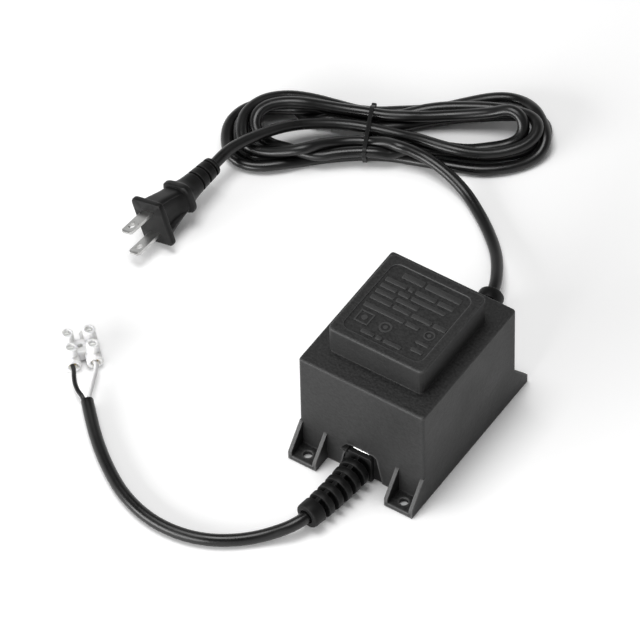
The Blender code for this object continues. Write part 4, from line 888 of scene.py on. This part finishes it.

# %% [markdown]
# ## Housing finish
# The housing is moulded in hard matt plastic from a spark-eroded mould, so its
# faces carry a fine, even grain of about a tenth of a millimetre. It drags a little
# where the upright walls slide out of the mould, so they are smoother than the
# top. The edges are painted paler: a painted highlight, with some wear from
# handling. A bump from fine noise gives the grain, and the upward part of the
# normal says how strong it is.


def moulded_finish(name, dark, light, roughness, specular, grain, depth, highlight_and_wear, radius=0.0007):
    material, tree, shader, place, cloud = new_finish(name, roughness, 32.0, 4.0, specular=specular)
    fine = noise(tree, place, grain, 3.0)
    coarse = noise(tree, place, grain * 0.4, 2.0)
    soft, edge = edge_highlight_and_wear(tree, radius, highlight_and_wear)
    facing = add(tree, "NewGeometry").outputs["True Normal"]
    upward = add(tree, "SeparateXYZ", Vector=facing).outputs["Z"]
    grainy = spread(tree, upward, 0.40, 1.0, 0.1, 0.9)
    speck = spread(tree, fine, 0.0, 1.0)
    middle = grey((dark + light) / 2)
    colour = blend_colours(tree, speck, grey(dark), grey(light))
    colour = blend_colours(tree, grainy, middle, colour)
    colour = blend_colours(tree, spread(tree, cloud, 0.0, 0.35), colour, grey(light))
    # Painted highlight along the edges, with some wear
    colour = blend_colours(tree, edge, colour, grey(light * 5.0))
    gloss = spread(tree, cloud, roughness - 0.04, roughness + 0.08)
    grained = bump(tree, fine, depth, grainy, soft)
    grained = bump(tree, coarse, depth * 1.4, grainy, grained)
    connect(tree, shader, colour, gloss, grained)
    return material


def finish_node(name, material):
    nodes[name].data.materials.clear()
    nodes[name].data.materials.append(material)


housing_black = moulded_finish("moulded_housing", 0.003, 0.026, 0.50, 0.285, 800.0, 0.00016, 0.65)
finish_node("housing", housing_black)
print("moulded finish:", housing_black.name)

# %% [markdown]
# ## Terminal block finish
# The block is milky polyamide: white, a little waxy, and light goes a short way
# into it, which fills its screw wells with a soft grey. Its screws and the
# plug's blades are nickel-plated, and its inner tubes are bright brass. Turned
# and drawn metal shows fine lines, which a bump of stretched noise gives. Its
# gloss changes slowly, with a cloud of plain noise.

# %% Terminal block and metal finishes
SCATTER_RADIUS, SCATTER_SCALE = (1.0, 1.0, 0.95), 0.004
METAL_RIM, METAL_LINES = 0.0002, 0.000002
terminal_white, tree, shader, place, cloud = new_finish("terminal_white", 0.36, 180.0,
                                                        specular=0.45)
soft, edge = edge_highlight_and_wear(tree, 0.0004, 0.5)
colour = blend_colours(tree, spread(tree, cloud, 0.0, 1.0), (0.88, 0.88, 0.87, 1.0),
                       (0.93, 0.93, 0.92, 1.0))
# Edges painted paler: a painted highlight
colour = blend_colours(tree, edge, colour, grey(0.98))
connect(tree, shader, colour, spread(tree, cloud, 0.30, 0.44),
        bump(tree, noise(tree, place, 1400.0), 0.00002, under=soft))
fill(tree, shader, Subsurface_Weight=1.0, Subsurface_Radius=SCATTER_RADIUS,
     Subsurface_Scale=SCATTER_SCALE)


def metal_finish(name, dark, light, roughness, stretch, turn=0.0, metallic=1.0):
    material, tree, shader, _, cloud = new_finish(name, roughness, 260.0, metallic=metallic)
    streaks = noise(tree, object_place(tree, stretch, turn), 1.0, 3.0)
    soft, edge = edge_highlight_and_wear(tree, METAL_RIM, 0.5)
    # Edges painted paler: a painted glint along them
    edge_glint = (*(min(1.0, c * 1.25) for c in light[:3]), 1.0)
    colour = blend_colours(tree, spread(tree, cloud, 0.0, 1.0), dark, light)
    colour = blend_colours(tree, edge, colour, edge_glint)
    gloss = spread(tree, cloud, roughness - 0.03, roughness + 0.05)
    connect(tree, shader, colour, gloss, bump(tree, streaks, METAL_LINES, under=soft))
    return material


blade_nickel = metal_finish("blade_nickel", (0.44, 0.44, 0.43, 1.0), (0.60, 0.60, 0.59, 1.0), 0.30,
                            (2600.0, 120.0, 2600.0), PLUG_HEADING)
screw_nickel = metal_finish("screw_nickel", (0.86, 0.86, 0.85, 1.0), (0.94, 0.94, 0.93, 1.0), 0.45,
                            (1800.0, 1800.0, 300.0), metallic=0.30)
tube_brass = metal_finish("tube_brass", (0.50, 0.38, 0.17, 1.0), (0.68, 0.54, 0.27, 1.0), 0.28,
                          (500.0, 500.0, 2500.0), math.radians(-46.0))
finish_node("terminal_block", terminal_white)
for i in (1, 2):
    finish_node(f"terminal_tube_{i}", tube_brass)
    finish_node(f"plug_blade_{i}", blade_nickel)
for i in range(1, 5):
    finish_node(f"terminal_screw_{i}", screw_nickel)
print("metal finishes:", blade_nickel.name, screw_nickel.name, tube_brass.name)

# %% [markdown]
# ## Finishes of the inside
# Nothing of the transformer shows from outside, and it is finished all the same,
# for a reader who takes the model apart: grey resin with small pits, varnished
# laminations, copper wire laid turn by turn, white former, yellow tape.

# %% Inner finishes


def layered_finish(name, dark, light, roughness, metallic, pitch, axis, depth, coat=0.0):
    # Fine parallel layers along one axis, such as laminations, turns or tape
    material, tree, shader, place, cloud = new_finish(name, roughness, 120.0, metallic=metallic)
    fill(tree, shader, Coat_Weight=coat)
    waves = add(tree, "TexWave", {"wave_type": "BANDS", "bands_direction": axis},
                Vector=place, Scale=math.tau / 20 / pitch, Distortion=0.4, Detail=1.0)
    layers = waves.outputs["Fac"]
    colour = blend_colours(tree, layers, dark, light)
    colour = blend_colours(tree, spread(tree, cloud, 0.0, 0.4), colour, dark)
    connect(tree, shader, colour, spread(tree, cloud, roughness - 0.06, roughness + 0.08),
            bump(tree, layers, depth))
    return material


resin_grey, tree, shader, place, cloud = new_finish("resin_grey", 0.45, 60.0, 4.0)
pits = add(tree, "TexVoronoi", Vector=place, Scale=260.0).outputs["Distance"]
colour = blend_colours(tree, spread(tree, cloud, 0.0, 1.0), grey(0.045, -0.02), grey(0.085, -0.02))
connect(tree, shader, colour, spread(tree, cloud, 0.34, 0.56),
        bump(tree, spread(tree, pits, 0.0, 1.0, 0.0, 0.12), 0.0002,
             under=bump(tree, cloud, 0.0004)))
lamination_steel = layered_finish("lamination_steel", grey(0.22), grey(0.34), 0.45, 0.9, 0.0005,
                                  "Z", 0.00006, 0.3)
enamelled_copper = layered_finish("enamelled_copper", (0.42, 0.14, 0.05, 1.0),
                                  (0.66, 0.27, 0.10, 1.0), 0.30, 0.9, 0.0008, "X", 0.0002, 0.4)
former_white = satin_finish("former_white", 0.62, 0.72, 0.48, 0.4, 900.0, 0.00002, 0.3)
tape_yellow = layered_finish("tape_yellow", (0.62, 0.44, 0.08, 1.0), (0.76, 0.58, 0.14, 1.0),
                             0.34, 0.0, 0.009, "X", 0.00005, 0.3)
lead_white = satin_finish("lead_white", 0.62, 0.74, 0.42, 0.4, 900.0, 0.00002, 0.3)
finish_node("potting_compound", resin_grey)
finish_node("bobbin", former_white)
finish_node("thermal_fuse", lead_white)
for name in ("core_e_stack", "core_i_stack"):
    finish_node(name, lamination_steel)
for side in ("primary", "secondary"):
    finish_node(f"{side}_winding", enamelled_copper)
    finish_node(f"{side}_tape", tape_yellow)
    finish_node(f"{side}_lead_1", lead_white)
    finish_node(f"{side}_lead_2", lead_white)
print("inside:", lamination_steel.name, enamelled_copper.name, tape_yellow.name)

# %% [markdown]
# ## Raised rows on the panel
# The recessed panel on top of the housing carries plain low bars in rows. Each
# bar is a cube scaled to its row's height and to its share of the row's width,
# with its upright edges rounded and its rim eased.

# %% Panel rows
PANEL_DEPTH = 0.0004
PANEL_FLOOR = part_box("housing")[1].z - PANEL_DEPTH
ROW_RISE = 0.26  # millimetres, like the rows below
ROWS = [  # left, right, middle Y and height in millimetres, then the bars' shares
    (-14.0, 17.5, 18.4, 3.4, (38, 62)),
    (-19.7, 17.0, 12.7, 2.6, (34, 8, 33, 25)),
    (-19.7, 15.3, 8.4, 2.4, (26, 18, 56)),
    (-19.8, 3.2, 4.3, 2.4, (46, 54)),
    (-19.8, 21.0, 0.0, 2.6, (30, 24, 28, 18)),
    (-19.8, 9.8, -5.4, 2.6, (76, 24)),
    (12.5, 19.3, -12.2, 1.7, (100,)),
    (13.1, 19.3, -17.0, 2.2, (100,)),
    (-12.2, 9.3, -19.8, 2.2, (36, 16, 48)),
]
BAR_GAP = 1.1


def add_bar(bm, left, right, middle, height):
    made = bmesh.ops.create_cube(bm, size=1.0)["verts"]
    bmesh.ops.scale(bm, vec=(right - left, height, ROW_RISE * 2), verts=made)
    bmesh.ops.translate(bm, vec=((left + right) / 2, middle, 0), verts=made)
    uprights = {e for v in made for e in v.link_edges
                if abs(e.verts[0].co.z - e.verts[1].co.z) > 0.1}
    ease(bm, uprights, min(0.5, height * 0.3), 4)


bm = bmesh.new()
for left, right, middle, height, shares in ROWS:
    free = right - left - BAR_GAP * (len(shares) - 1)
    at = left
    for share in shares:
        width = free * share / sum(shares)
        add_bar(bm, at, at + width, middle, height)
        at += width + BAR_GAP
rim = [e for e in bm.edges if all(v.co.z > ROW_RISE * 0.9 for v in e.verts)
       and len(e.link_faces) == 2 and abs(e.calc_face_angle(0.0)) > 1.0]
ease(bm, rim, 0.10, 2)
to_metres(bm, PANEL_FLOOR)
row_black = moulded_finish("row_black", 0.010, 0.024, 0.50, 0.22, 1500.0, 0.00004, 0.3, 0.0003)
panel_rows = piece_from(bm, "panel_rows", row_black)
print("bars:", sum(len(row[-1]) for row in ROWS), "faces:", len(panel_rows.data.polygons),
      "panel floor at", round(PANEL_FLOOR, 5))

# %% [markdown]
# Three simple marks stand beside and below the rows: a square frame and two rings,
# each with a disc in its middle. A frame or a ring is bridged between two circles
# of few or many sides, and each flat shape is then drawn up into a low boss.

# %% Panel marks
FRAME_PLACE, LEFT_RING, RIGHT_RING = (-15.0, -12.6), (-3.6, -12.6), (16.1, -6.3)
FRAME_OUTER, FRAME_INNER = 3.72 * math.sqrt(2), 2.976 * math.sqrt(2)  # half diagonals


def raise_flat(bm, faces, rise):
    grown = bmesh.ops.extrude_face_region(bm, geom=faces)["geom"]
    corners = [v for v in grown if isinstance(v, bmesh.types.BMVert)]
    bmesh.ops.translate(bm, vec=(0, 0, rise), verts=corners)


def ring_faces(bm, centre, outer, inner, sides):
    # A flat ring between two circles, or a frame where sides is 4
    turn = Matrix.Translation((*centre, 0))
    if sides == 4:
        turn @= Matrix.Rotation(math.pi / 4, 4, "Z")
    rings = [bmesh.ops.create_circle(bm, segments=sides, radius=r, matrix=turn)["verts"]
             for r in (outer, inner)]
    edges = {e for ring in rings for v in ring for e in v.link_edges}
    return bmesh.ops.bridge_loops(bm, edges=list(edges))["faces"]


bm = bmesh.new()
flat = ring_faces(bm, FRAME_PLACE, FRAME_OUTER, FRAME_INNER, 4)
flat += ring_faces(bm, LEFT_RING, 3.2, 2.2, 40)
flat += ring_faces(bm, RIGHT_RING, 2.8, 2.1, 40)
for centre, radius in ((LEFT_RING, 1.1), (RIGHT_RING, 1.0), (FRAME_PLACE, 1.5)):
    disc = bmesh.ops.create_circle(bm, cap_ends=True, segments=32, radius=radius,
                                   matrix=Matrix.Translation((*centre, 0)))["verts"]
    flat += list({f for v in disc for f in v.link_faces})
bmesh.ops.recalc_face_normals(bm, faces=bm.faces)
raise_flat(bm, flat, ROW_RISE)
to_metres(bm, PANEL_FLOOR)
panel_marks = piece_from(bm, "panel_marks", row_black)
print("marks:", len(panel_marks.data.polygons), "faces")
